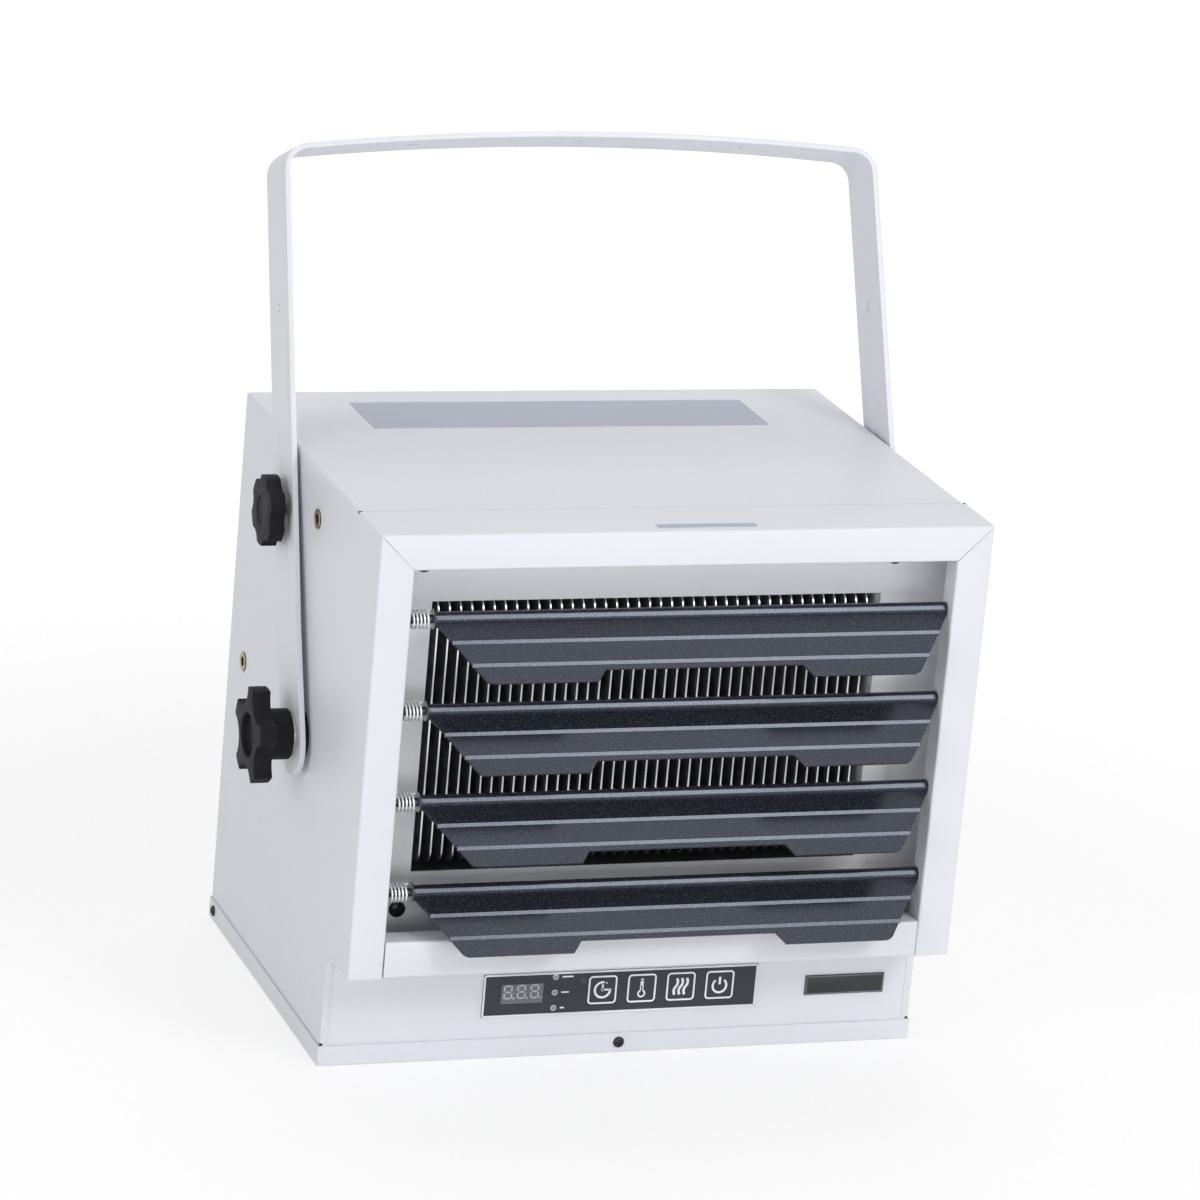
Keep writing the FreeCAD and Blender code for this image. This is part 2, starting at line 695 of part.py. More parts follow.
# Air duct: sleeve from the outlet back to the fan, with a flange behind the recess panel
def make_air_duct():
    side = f"({OUTLET_HALF} + sheet)"
    low, high = f"({OUTLET_LOW} - sheet)", f"({OUTLET_HIGH} + sheet)"
    sleeve = box("duct_sleeve", (f"-{side}", side), (FRONT, DUCT_END), (low, high))
    flange = box("duct_flange", (f"-{side} - duct_flange_side", f"{side} + duct_flange_side"),
                 (FRONT, f"{FRONT} + sheet"),
                 (f"{low} - duct_flange_end", f"{high} + duct_flange_end"))
    bore = box("duct_bore", (f"-{OUTLET_HALF}", OUTLET_HALF), (f"{FRONT} - 1", f"{DUCT_END} + 1"),
               (OUTLET_LOW, OUTLET_HIGH))
    holes = [rod(f"duct_hole_{index}", "screw_radius + screw_fit", "y", f"{FRONT} - 1",
                 f"{FRONT} + sheet + 1", across, up)
             for index, (across, up) in enumerate(recess_screw_places())]
    tubes = [rod(f"duct_tube_hole_{row}", "tube_radius + tube_fit", "x", f"-{side} - 1", f"{side} + 1",
                 FIN_MIDDLE, tube_height(row))
             for row in TUBE_ROWS]
    node("air_duct", cut("air_duct", fuse("duct_walls", [sleeve, flange]), [bore] + holes + tubes))


def tube_height(row):
    """Returns the height formula of one heating tube."""
    return f"(outlet_middle + {row} * tube_spacing)"


# Fin pack: upright plates on three collars, each collar round a heating tube
def make_fin_pack():
    body = body_of("fin_pack")
    outline = sketch_in(body, "fin_outline", "YZ_Plane", f"-{FIN_HALF}")
    rectangle(outline, (FIN_FRONT, f"{FIN_FRONT} + fin_depth"),
              ("outlet_middle - fin_height / 2", "outlet_middle + fin_height / 2"))
    pad(body, outline, "fin_thick")
    rounded = fillet(body, "fin_round", lambda edge: close_to(edge.BoundBox.XLength, given("fin_thick")))
    doc.recompute()
    row = body.newObject("PartDesign::LinearPattern", "fin_row")
    row.Originals = [outline_pad(body), rounded]
    axis = next(item for item in body.Origin.OriginFeatures if item.Role == "X_Axis")
    row.Direction = (axis, [""])
    bind(row, "Length", "(fin_count - 1) * fin_pitch")
    bind(row, "Occurrences", "fin_count")
    body.Tip = row
    collars = sketch_in(body, "fin_collars", "YZ_Plane")
    bores = sketch_in(body, "fin_bores", "YZ_Plane")
    for tube in TUBE_ROWS:
        circle(collars, FIN_MIDDLE, tube_height(tube), SLEEVE)
        circle(bores, FIN_MIDDLE, tube_height(tube), "tube_radius + tube_fit")
    pad(body, collars, f"2 * {FIN_HALF}", symmetric=True)
    pocket(body, bores)
    node("fin_pack", body)


def outline_pad(body):
    """Returns the first pad of a body."""
    return next(item for item in body.Group if item.isDerivedFrom("PartDesign::Pad"))


# Heating tubes with their terminal pins, and the plates that hold them outside the duct
def make_heating_tubes():
    side = f"({OUTLET_HALF} + sheet + end_plate + tube_overhang)"
    tubes = []
    for row in TUBE_ROWS:
        up = tube_height(row)
        barrel = rod(f"tube_barrel_{row}", "tube_radius", "x", f"-{side}", side, FIN_MIDDLE, up)
        pin = rod(f"tube_pin_{row}", "pin_radius", "x", f"-{side} - pin_length", f"{side} + pin_length",
                  FIN_MIDDLE, up)
        tubes.append(fuse(f"tube_{row}", [barrel, pin]))
    node("heating_tubes", group("heating_tubes", tubes))
    plates = []
    for name, sign in SIDES.items():
        near = f"({OUTLET_HALF} + sheet)"
        plate = box(f"end_plate_{name}", sorted_pair(sign, near, f"({near} + end_plate)"),
                    (f"{FIN_MIDDLE} - end_plate_depth / 2", f"{FIN_MIDDLE} + end_plate_depth / 2"),
                    ("outlet_middle - end_plate_height / 2", "outlet_middle + end_plate_height / 2"))
        holes = [rod(f"end_plate_hole_{name}_{row}", "tube_radius + tube_fit", "x",
                     f"{sign} * {near} - {BEYOND}",
                     f"{sign} * {near} + {BEYOND}", FIN_MIDDLE, tube_height(row)) for row in TUBE_ROWS]
        plates.append(cut(f"end_plate_cut_{name}", plate, holes))
    node("element_end_plates", group("element_end_plates", plates))


# Thermal cut-out: disc thermostat on the duct's roof
def make_thermal_cutout():
    roof = f"({OUTLET_HIGH} + sheet)"
    flange = box("cutout_base", ("-cutout_flange", "cutout_flange"),
                 (f"{FIN_MIDDLE} - cutout_radius", f"{FIN_MIDDLE} + cutout_radius"),
                 (roof, f"{roof} + sheet"))
    disc = rod("cutout_disc", "cutout_radius", "z", roof, f"{roof} + cutout_height", "0", FIN_MIDDLE)
    tabs = [box(f"cutout_tab_{name}", sorted_pair(sign, "cutout_radius / 2", "(cutout_radius / 2 + sheet)"),
                (f"{FIN_MIDDLE} - cutout_radius / 4", f"{FIN_MIDDLE} + cutout_radius / 4"),
                (roof, f"{roof} + 2 * cutout_height"))
            for name, sign in SIDES.items()]
    node("thermal_cutout", fuse("thermal_cutout", [flange, disc] + tabs))


# Fan shroud: plate on the duct's rear end with a ring round the blades
def make_fan_shroud():
    side = f"({OUTLET_HALF} + sheet)"
    radius = "(fan_radius + tip_gap)"
    plate = box("shroud_plate", (f"-{side} - shroud_flange", f"{side} + shroud_flange"),
                (DUCT_END, f"{DUCT_END} + sheet"),
                (f"{OUTLET_LOW} - sheet - shroud_flange", f"{OUTLET_HIGH} + sheet + shroud_flange"))
    ring = rod("shroud_ring", f"{radius} + sheet", "y", DUCT_END, f"{DUCT_END} + shroud_depth", "0",
               "outlet_middle")
    bore = rod("shroud_bore", radius, "y", f"{DUCT_END} - 1", f"{DUCT_END} + shroud_depth + 1", "0",
               "outlet_middle")
    node("fan_shroud", cut("fan_shroud", fuse("shroud_walls", [plate, ring]), [bore]))


# Fan: hub with twisted blades, each lofted from a root section to a tip section
def make_fan():
    hub_radius = given("fan_hub_radius")
    length = given("fan_hub_length")
    hub = Part.makeCylinder(hub_radius, length, Vector(), Vector(0, 1, 0))
    bore = Part.makeCylinder(given("shaft_radius") + given("shaft_fit"), length, Vector(), Vector(0, 1, 0))
    root = blade_section(hub_radius * 0.8, given("blade_root_chord"), given("blade_root_angle"))
    tip = blade_section(given("fan_radius"), given("blade_tip_chord"), given("blade_tip_angle"))
    blade = Part.makeLoft([root, tip], True, True)
    blade.translate(Vector(0, length / 2, 0))
    edge = given("fan_radius")
    rim = Part.makeCylinder(edge, 3 * length, Vector(0, -length, 0), Vector(0, 1, 0))
    blade = blade.common(rim)
    count = int(given("blade_count"))
    turned = []
    for index in range(count):
        copy = blade.copy()
        copy.rotate(Vector(), Vector(0, 1, 0), 360.0 * index / count)
        turned.append(copy)
    fan = feature("fan_blade", hub.multiFuse(turned).removeSplitter().cut(bore))
    node("fan_blade", place(fan, "0", FAN_FRONT, "outlet_middle"))
    node("motor_shaft", rod("motor_shaft", "shaft_radius", "y", f"{FAN_FRONT} - 1.5",
                            f"{MOTOR_REAR} - motor_length / 2",
                            "0", "outlet_middle"))


def blade_section(radius, chord, angle):
    """Returns a blade's four-sided section at one radius, turned by its pitch angle."""
    half = chord / 2
    thick = given("blade_thick") / 2
    lean = math.radians(angle)
    along = Vector(math.cos(lean), math.sin(lean), 0) * half
    through = Vector(-math.sin(lean), math.cos(lean), 0) * thick
    lift = Vector(0, 0, radius)
    corners = [lift + along + through, lift - along + through, lift - along - through, lift + along - through]
    return Part.makePolygon(corners + corners[:1])


# Motor, its bracket and the shelf that divides the air space from the electronics
def make_motor():
    can = rod("motor_can", "motor_radius", "y", MOTOR_FRONT, MOTOR_REAR, "0", "outlet_middle")
    nose = rod("motor_nose_boss", "motor_nose_radius", "y", f"{MOTOR_FRONT} - motor_nose", MOTOR_FRONT, "0",
               "outlet_middle")
    bore = rod("motor_bore", "shaft_radius + shaft_fit", "y", f"{MOTOR_FRONT} - motor_nose - 1",
               f"{MOTOR_REAR} - motor_length / 2 + 1", "0", "outlet_middle")
    node("fan_motor", cut("fan_motor", fuse("motor_solid", [can, nose]), [bore]))
    across = ("-bracket_width / 2", "bracket_width / 2")
    plate = box("bracket_plate", across, (MOTOR_REAR, f"{MOTOR_REAR} + bracket_thick"),
                ("shelf_top", "outlet_middle + bracket_above"))
    foot = box("bracket_foot_plate", across, (MOTOR_REAR, f"{MOTOR_REAR} + bracket_foot"),
               ("shelf_top", "shelf_top + bracket_thick"))
    node("motor_bracket", fuse("motor_bracket", [plate, foot]))
    behind = f"({REAR} - 2 * sheet - fit_gap)"
    pan = box("shelf_pan", (f"-{INNER_HALF}", INNER_HALF), (f"{FRONT} + sheet + fit_gap", behind),
              ("shelf_top - shelf_lip", "shelf_top"))
    under = box("shelf_under", (f"-{INNER_HALF} + sheet", f"{INNER_HALF} - sheet"),
                (f"{FRONT} - 1", f"{REAR} + 1"),
                (f"shelf_top - shelf_lip - {BEYOND}", "shelf_top - sheet"))
    relief = box("shelf_relief", (f"-{HALF}", HALF), (f"{FRONT} - 1", f"{FRONT} + panel_lip + 1"),
                 (f"shelf_top - shelf_lip - {BEYOND}", f"{PANEL_TOP} + fit_gap"))
    node("divider_shelf", cut("divider_shelf", pan, [under, relief]))


def louvers():
    """Returns the numbers of the louvres, the top one first."""
    return range(1, int(given("louver_count")) + 1)


def louver_height(index):
    """Returns the height formula of one louvre's pivot."""
    return f"(louver_top - {index - 1} * louver_pitch)"


# Louvre: rolled bead on the pivot, a blade with two ridges, slanted ends and a cut-out lower lip
def make_louver(index):
    body = body_of(f"louver_{index}")
    length = f"({LOUVER_RIGHT} - {LOUVER_LEFT})"
    blade = sketch_in(body, f"louver_{index}_blade", "YZ_Plane")
    rectangle(blade, ("-louver_chord", "-bead_radius / 2"), ("-louver_plate / 2", "louver_plate / 2"))
    pad(body, blade, length, symmetric=True)
    beads = sketch_in(body, f"louver_{index}_beads", "YZ_Plane")
    circle(beads, "0", "0", "bead_radius")
    for third in (1, 2):
        circle(beads, f"-louver_chord * {third} / 3", "louver_plate / 2", "ridge_radius")
    pad(body, beads, length, symmetric=True)
    bore = sketch_in(body, f"louver_{index}_bore", "YZ_Plane")
    circle(bore, "0", "0", "rod_radius")
    pocket(body, bore)
    trims = sketch_in(body, f"louver_{index}_trims", "XY_Plane")
    end = f"({length} / 2)"
    for sign in (-1, 1):
        polygon(trims, [(f"{sign} * ({end} + {BEYOND})", "-bead_radius"), (f"{sign} * {end}", "-bead_radius"),
                        (f"{sign} * ({end} - louver_slant)", "-louver_chord"),
                        (f"{sign} * ({end} - louver_slant)", f"-louver_chord - {BEYOND}"),
                        (f"{sign} * ({end} + {BEYOND})", f"-louver_chord - {BEYOND}")])
    low = "(lip_cut_width / 2)"
    high = "(lip_cut_width / 2 - lip_cut_slant)"
    polygon(trims, [(f"-{low}", f"-louver_chord - {BEYOND}"), (f"-{low}", "-louver_chord"),
                    (f"-{high}", "lip_cut_depth - louver_chord"), (high, "lip_cut_depth - louver_chord"),
                    (low, "-louver_chord"), (low, f"-louver_chord - {BEYOND}")])
    pocket(body, trims)
    body.Placement = Placement(Vector(), Rotation(Vector(1, 0, 0), given("louver_angle")))
    bind(body, ".Placement.Rotation.Angle", "louver_angle")
    place(body, f"({LOUVER_RIGHT} + {LOUVER_LEFT}) / 2", LOUVER_Y, louver_height(index))
    node(f"louver_{index}", body)


def make_louver_rod(index):
    """Makes the rod a louvre turns on, with the collar its spring pushes against."""
    end = f"({MOUTH_HALF} + sheet + rod_end)"
    up = louver_height(index)
    shank = rod(f"rod_shank_{index}", "rod_radius", "x", f"-{end}", end, LOUVER_Y, up)
    collar = rod(f"rod_collar_{index}", "collar_radius", "x", f"{LOUVER_LEFT} - collar_thick", LOUVER_LEFT,
                 LOUVER_Y, up)
    node(f"louver_rod_{index}", fuse(f"louver_rod_{index}", [shank, collar]))


def spring_path():
    """Returns the points and directions along one louvre spring, from its left end, about its own axis."""
    wire = given("spring_wire")
    radius = given("spring_radius")
    span = given("spring_length") - given("spring_end_gap")
    quarters = 4 * int(given("spring_turns"))
    lead = 2 * wire
    rise = (span - 2 * lead) / quarters
    slope = rise / (math.pi / 2 * radius)
    stations = []
    for step in range(quarters + 1):
        turn = step * math.pi / 2
        spot = Vector(lead + step * rise, radius * math.cos(turn), radius * math.sin(turn))
        stations.append((spot, Vector(slope, -math.sin(turn), math.cos(turn)).normalize()))
    back = math.pi / 4
    entry = Vector(wire, radius * math.cos(back), -radius * math.sin(back))
    leave = Vector(span - wire, radius * math.cos(back), radius * math.sin(back))
    along = Vector(1, 0, 0)
    stations.insert(0, (entry, along))
    stations.append((leave, along))
    return stations, entry - along * wire, leave + along * wire


def arc_between(start, corner, end):
    """Returns the arc from start to end that is tangent to both legs of the corner between them."""
    chord_middle = (start + end) * 0.5
    tangent = (corner - start).Length
    half_turn = (end - start).getAngle(corner - start)
    sagitta = tangent * math.cos(half_turn) * math.tan(half_turn / 2)
    top = chord_middle + (corner - chord_middle).normalize() * sagitta
    return Part.Arc(start, top, end)


def biarc(start, start_way, end, end_way):
    """Returns two arcs that join two points with given directions."""
    gap = end - start
    square = 2 * (start_way.dot(end_way) - 1)
    linear = -2 * gap.dot(start_way + end_way)
    if abs(square) < 1e-9:
        reach = -gap.dot(gap) / linear
    else:
        root = math.sqrt(linear ** 2 - 4 * square * gap.dot(gap))
        reach = (-linear - root) / (2 * square)
    first = start + start_way * reach
    second = end - end_way * reach
    middle = (first + second) * 0.5
    return [arc_between(start, first, middle), arc_between(middle, second, end)]


# Louvre spring: one unbroken wire whose straight ends meet the hood and the rod's collar squarely
def make_louver_spring(index, shape):
    spring = feature(f"louver_spring_{index}", shape.copy())
    place(spring, f"-{MOUTH_HALF}", LOUVER_Y, louver_height(index))
    node(f"louver_spring_{index}", spring)


def spring_shape():
    """Returns the spring's solid and prints its least gap to itself."""
    stations, first_end, last_end = spring_path()
    edges = [Part.LineSegment(first_end, stations[0][0])]
    for (start, start_way), (end, end_way) in zip(stations, stations[1:]):
        edges.extend(biarc(start, start_way, end, end_way))
    edges.append(Part.LineSegment(stations[-1][0], last_end))
    path = Part.Wire([edge.toShape() for edge in edges])
    wire = given("spring_wire")
    ring = Part.Wire(Part.makeCircle(wire / 2, first_end, Vector(1, 0, 0)))
    solid = path.makePipeShell([ring], True, False)
    points = []
    travelled = 0.0
    for edge in path.OrderedEdges:
        steps = max(2, int(edge.Length / (wire / 3)))
        for spot in edge.discretize(steps + 1)[:-1]:
            points.append((travelled, spot))
            travelled += edge.Length / steps
    apart = 3 * wire
    gaps = [(a - b).Length for here, a in points for there, b in points if there - here > apart]
    expected = math.pi * wire ** 2 / 4 * path.Length
    print(f"spring: least gap to itself {min(gaps) - wire:.2f} mm, volume over section times length "
          f"{solid.Volume / expected:.4f}")
    return solid


# Yoke: the strap's front view, padded to the strap's width and tilted back about the pivots
def make_yoke():
    body = body_of("yoke")
    profile = sketch_in(body, "yoke_profile", "XZ_Plane")
    for item in yoke_outline():
        profile.addGeometry(item, False)
    pad(body, profile, "strap_width", symmetric=True)
    half = given("strap_width") / 2
    foot = -given("leg_end")
    fillet(body, "leg_end_round", lambda edge: close_to(edge.CenterOfMass.z, foot)
           and close_to(abs(edge.CenterOfMass.y), half))
    leg_holes = sketch_in(body, "yoke_leg_holes", "YZ_Plane")
    stud_hole = "stud_radius + stud_fit"
    circle(leg_holes, "0", "0", stud_hole)
    circle(leg_holes, "0", "nut_arc", stud_hole)
    circle(leg_holes, "0", "leg_hole_at", "leg_hole_radius")
    pocket(body, leg_holes)
    bar_holes = sketch_in(body, "yoke_bar_holes", "XY_Plane")
    for step in (-1, 0, 1):
        circle(bar_holes, f"{step} * bar_hole_spacing", "0", "bar_hole_radius")
    pocket(body, bar_holes)
    body.Placement = Placement(Vector(), Rotation(Vector(1, 0, 0), -given("nut_step")))
    bind(body, ".Placement.Rotation.Angle", "-nut_step")
    place(body, "0", PIVOT_Y, "pivot_height")
    node("yoke", body)


def yoke_outline():
    """Returns the closed front outline of the strap, from the pivots' height: legs, corners and bowed bar."""
    thick = given("strap_thick")
    inner = given("casing_width") / 2 + given("yoke_gap")
    kink = given("lean_start")
    top = given("yoke_height")
    foot = -given("leg_end")
    corner = given("yoke_corner")
    lean = math.atan2(given("yoke_lean"), top - kink)
    up = Vector(-math.sin(lean), math.cos(lean), 0)
    inward = Vector(-math.cos(lean), -math.sin(lean), 0)
    half_bar = inner - given("yoke_lean") - corner
    bow = (half_bar ** 2 + given("yoke_bow") ** 2) / (2 * given("yoke_bow"))
    bow_middle = Vector(0, top - bow, 0)
    base = Vector(inner, kink, 0) + inward * corner - bow_middle
    along = base.dot(up)
    rise = -along + math.sqrt(along ** 2 - base.dot(base) + (bow - corner) ** 2)
    turn_middle = bow_middle + base + up * rise
    outward = (turn_middle - bow_middle).normalize()
    lift = math.tan(lean / 2) * thick
    rings = []
    for extra, knee in ((0.0, Vector(inner, kink, 0)), (thick, Vector(inner + thick, kink + lift, 0))):
        leg_top = turn_middle - inward * (corner + extra)
        bar_end = turn_middle + outward * (corner + extra)
        leg_foot = Vector(inner + extra, foot, 0)
        turn_top = turn_middle + (outward - inward).normalize() * (corner + extra)
        rings.append((leg_foot, knee, leg_top, turn_top, bar_end, bow_middle + Vector(0, bow + extra, 0)))
    edges = []
    for leg_foot, knee, leg_top, turn_top, bar_end, bar_top in rings:
        for sign in (-1, 1):
            spots = [Vector(sign * spot.x, spot.y, 0) for spot in (leg_foot, knee, leg_top, turn_top,
                                                                   bar_end)]
            edges.append(Part.LineSegment(spots[0], spots[1]))
            edges.append(Part.LineSegment(spots[1], spots[2]))
            edges.append(Part.Arc(spots[2], spots[3], spots[4]))
        edges.append(Part.Arc(Vector(-bar_end.x, bar_end.y, 0), bar_top, bar_end))
    for sign in (-1, 1):
        edges.append(Part.LineSegment(Vector(sign * inner, foot, 0), Vector(sign * (inner + thick), foot, 0)))
    return edges


# Knob: scalloped head on a hub, with a dish in its face and a stud behind
def make_knob(name, kind, side, stud, base, y, z):
    body = body_of(name)
    hub = sketch_in(body, f"{name}_hub", "XY_Plane")
    circle(hub, "0", "0", f"{kind}_hub_radius")
    pad(body, hub, f"{kind}_hub")
    head = sketch_in(body, f"{name}_head", "XY_Plane", f"{kind}_hub")
    circle(head, "0", "0", f"{kind}_radius")
    pad(body, head, f"{kind}_thick")
    scallop = sketch_in(body, f"{name}_scallop", "XY_Plane", f"{kind}_hub")
    circle(scallop, f"{kind}_scallop_at * cos({kind}_turn)", f"{kind}_scallop_at * sin({kind}_turn)",
           f"{kind}_scallop")
    notch = pocket(body, scallop, f"{kind}_thick", reverse=True)
    doc.recompute()
    ring = body.newObject("PartDesign::PolarPattern", f"{name}_lobes")
    ring.Originals = [notch]
    axis = next(item for item in body.Origin.OriginFeatures if item.Role == "Z_Axis")
    ring.Axis = (axis, [""])
    ring.Angle = 360
    bind(ring, "Occurrences", f"{kind}_lobes")
    body.Tip = ring
    doc.recompute()
    dish = sketch_in(body, f"{name}_dish", "XY_Plane", f"{kind}_hub + {kind}_thick")
    circle(dish, "0", "0", f"{kind}_dish_radius")
    pocket(body, dish, f"{kind}_dish")
    shank = sketch_in(body, f"{name}_stud", "XY_Plane")
    circle(shank, "0", "0", "stud_radius")
    pad(body, shank, stud, reverse=True)
    sign = SIDES[side]
    body.Placement = Placement(Vector(), Rotation(Vector(0, 1, 0), 90 * sign))
    place(body, f"{sign} * {base}", y, z)
    node(name, body)


def make_washer(name, radius, bore, side, near, far, y, z):
    """Makes a flat ring on one side of the casing, between two distances from the middle."""
    low, high = sorted_pair(SIDES[side], near, far)
    disc = rod(f"{name}_disc", radius, "x", low, high, y, z)
    hole = rod(f"{name}_hole", bore, "x", f"{low} - 1", f"{high} + 1", y, z)
    return cut(name, disc, [hole])


# Pivot and lock knobs with their washers, the spacers behind the yoke's legs, and the rivet nuts
def make_knobs():
    pivot_washer = f"({LEG_OUTER} + flat_gap)"
    pivot_base = f"({LEG_OUTER} + 2 * flat_gap + washer_thick)"
    lock_washer = f"({LOCK_LEG} + lock_seat + lock_travel)"
    lock_base = f"({LOCK_LEG} + lock_seat + lock_travel + lock_washer_thick + flat_gap)"
    lock_stud = f"{lock_base} - {HALF} - nut_flange - lock_tip_gap"
    spacers = []
    for side in SIDES:
        make_knob(f"pivot_knob_{side}", "star", side, f"{pivot_base} - {HALF} + stud_grip", pivot_base,
                  PIVOT_Y, "pivot_height")
        make_knob(f"lock_knob_{side}", "lock", side, lock_stud, lock_base, LOCK_Y, LOCK_Z)
        ring = make_washer(f"pivot_washer_{side}", "washer_radius", "stud_radius + washer_fit", side,
                           pivot_washer, f"({pivot_washer} + washer_thick)", PIVOT_Y, "pivot_height")
        node(f"pivot_washer_{side}", ring)
        ring = make_washer(f"lock_washer_{side}", "lock_washer_radius", "stud_radius + washer_fit", side,
                           lock_washer, f"({lock_washer} + lock_washer_thick)", LOCK_Y, LOCK_Z)
        node(f"lock_washer_{side}", ring)
        spacers.append(make_washer(f"spacer_{side}", "spacer_radius", "nut_flange_radius + washer_fit",
                                   side, HALF, f"({LEG_INNER} - flat_gap)", PIVOT_Y, "pivot_height"))
    node("yoke_spacers", group("yoke_spacers", spacers))
    nuts = []
    for side, sign in SIDES.items():
        for index, (y, z) in enumerate(nut_places()):
            name = f"nut_{side}_{index}"
            flange = rod(f"{name}_flange", "nut_flange_radius", "x",
                         *sorted_pair(sign, HALF, f"({HALF} + nut_flange)"), y, z)
            barrel = rod(f"{name}_barrel", "nut_body_radius", "x",
                         *sorted_pair(sign, f"({HALF} - nut_length)", HALF), y, z)
            bore = rod(f"{name}_bore", "stud_radius + stud_fit", "x", f"{sign} * {HALF} - nut_length - 1",
                       f"{sign} * {HALF} + nut_length + 1", y, z)
            nuts.append(cut(name, fuse(f"{name}_solid", [flange, barrel]), [bore]))
    node("rivet_nuts", group("rivet_nuts", nuts))


def panel_openings():
    """Returns the shapes cut through both the control panel and its overlay."""
    depth = (f"{FRONT} - {BEYOND}", f"{FRONT} + {BEYOND}")
    tools = []
    for index in range(len(KEYS)):
        middle = key_across(index)
        reach = "(key_size / 2 + key_fit)"
        tools.append(box(f"key_opening_{index}", (f"{middle} - {reach}", f"{middle} + {reach}"), depth,
                         (f"key_middle - {reach}", f"key_middle + {reach}")))
    wide = "(display_width / 2 + key_fit)"
    tall = "(display_height / 2 + key_fit)"
    tools.append(box("display_opening", (f"-display_left - {wide}", f"{wide} - display_left"), depth,
                     (f"display_middle - {tall}", f"display_middle + {tall}")))
    for row in (-1, 0, 1):
        tools.append(rod(f"lamp_opening_{row}", "lamp_radius + key_fit", "y", *depth, "-lamp_left",
                         lamp_height(row)))
    tools.append(rod("window_opening", "window_radius + key_fit", "y", *depth, "-window_left", "window_up"))
    return tools


def key_across(index):
    """Returns the x formula of one key."""
    return f"(key_first + {index} * key_pitch)"


def lamp_height(row):
    """Returns the height formula of one indicator lamp."""
    return f"(display_middle + {row} * lamp_pitch)"


# Control panel: lower front pan with posts for its board, and the overlay on its face
def make_control_panel():
    pan = box("panel_pan", (f"-{INNER_HALF}", INNER_HALF), (FRONT, f"{FRONT} + panel_lip"),
              ("sheet", PANEL_TOP))
    hollow = box("panel_hollow", (f"-{INNER_HALF} + sheet", f"{INNER_HALF} - sheet"),
                 (PANEL_BACK, f"{FRONT} + panel_lip + 1"), ("2 * sheet", f"{PANEL_TOP} + 1"))
    walls = cut("panel_walls", pan, [hollow])
    posts = []
    for sign in (-1, 1):
        for lift in (-1, 1):
            posts.append(rod(f"panel_post_{sign}_{lift}", "post_radius", "y", FRONT, BOARD,
                             f"{sign} * (board_width / 2 - post_radius)",
                             f"overlay_middle + {lift} * (board_height / 2 - post_radius)"))
    openings = fuse("panel_openings", panel_openings())
    screw = rod("panel_screw_hole", "screw_radius + screw_fit", "y", f"{FRONT} - 1", f"{PANEL_BACK} + 1",
                "0", "tray_screw_up")
    node("control_panel", cut("control_panel", fuse("panel_solid", [walls] + posts), [openings, screw]))
    film = box("overlay_film", ("-overlay_left - overlay_width / 2", "overlay_width / 2 - overlay_left"),
               (OVERLAY_FRONT, FRONT),
               ("overlay_middle - overlay_height / 2", "overlay_middle + overlay_height / 2"))
    node("overlay_panel", cut("overlay_panel", film, [openings]))


# Keys: caps flush with the overlay, held behind the panel by a rim, each with a stem over its switch
def make_keys():
    switches = []
    for index, name in enumerate(KEYS):
        middle = key_across(index)
        half = "(key_size / 2)"
        rim = "(key_size / 2 + key_rim)"
        behind = f"({PANEL_BACK} + flat_gap)"
        cap = box(f"key_cap_{name}", (f"{middle} - {half}", f"{middle} + {half}"), (OVERLAY_FRONT, behind),
                  (f"key_middle - {half}", f"key_middle + {half}"))
        edge = box(f"key_edge_{name}", (f"{middle} - {rim}", f"{middle} + {rim}"),
                   (behind, f"{behind} + key_rim_thick"),
                   (f"key_middle - {rim}", f"key_middle + {rim}"))
        stem = rod(f"key_stem_{name}", "key_stem_radius", "y", behind, f"{SWITCH_FRONT} - press_gap", middle,
                   "key_middle")
        node(f"key_{name}", fuse(f"key_{name}", [cap, edge, stem]))
        side = "(switch_size / 2)"
        case = box(f"switch_case_{name}", (f"{middle} - {side}", f"{middle} + {side}"),
                   (f"{BOARD} - switch_height", BOARD),
                   (f"key_middle - {side}", f"key_middle + {side}"))
        plunger = rod(f"switch_plunger_{name}", "plunger_radius", "y", SWITCH_FRONT, BOARD, middle,
                      "key_middle")
        switches.append(fuse(f"switch_{name}", [case, plunger]))
    node("key_switches", group("key_switches", switches))


# Control board with its display, indicator lamps and receiver window
def make_control_board():
    board = box("control_board", ("-board_width / 2", "board_width / 2"), (BOARD, f"{BOARD} + board_thick"),
                ("overlay_middle - board_height / 2", "overlay_middle + board_height / 2"))
    node("control_board", board)
    display = box("display_module", ("-display_left - display_width / 2", "display_width / 2 - display_left"),
                  (f"{OVERLAY_FRONT} + flat_gap", BOARD),
                  ("display_middle - display_height / 2", "display_middle + display_height / 2"))
    node("display_module", display)
    lamps = [rod(f"lamp_{row}", "lamp_radius", "y", f"{OVERLAY_FRONT} - lamp_proud", BOARD, "-lamp_left",
                 lamp_height(row))
             for row in (-1, 0, 1)]
    node("indicator_lamps", group("indicator_lamps", lamps))
    node("receiver_window", rod("receiver_window", "window_radius", "y", OVERLAY_FRONT, BOARD,
                                "-window_left", "window_up"))


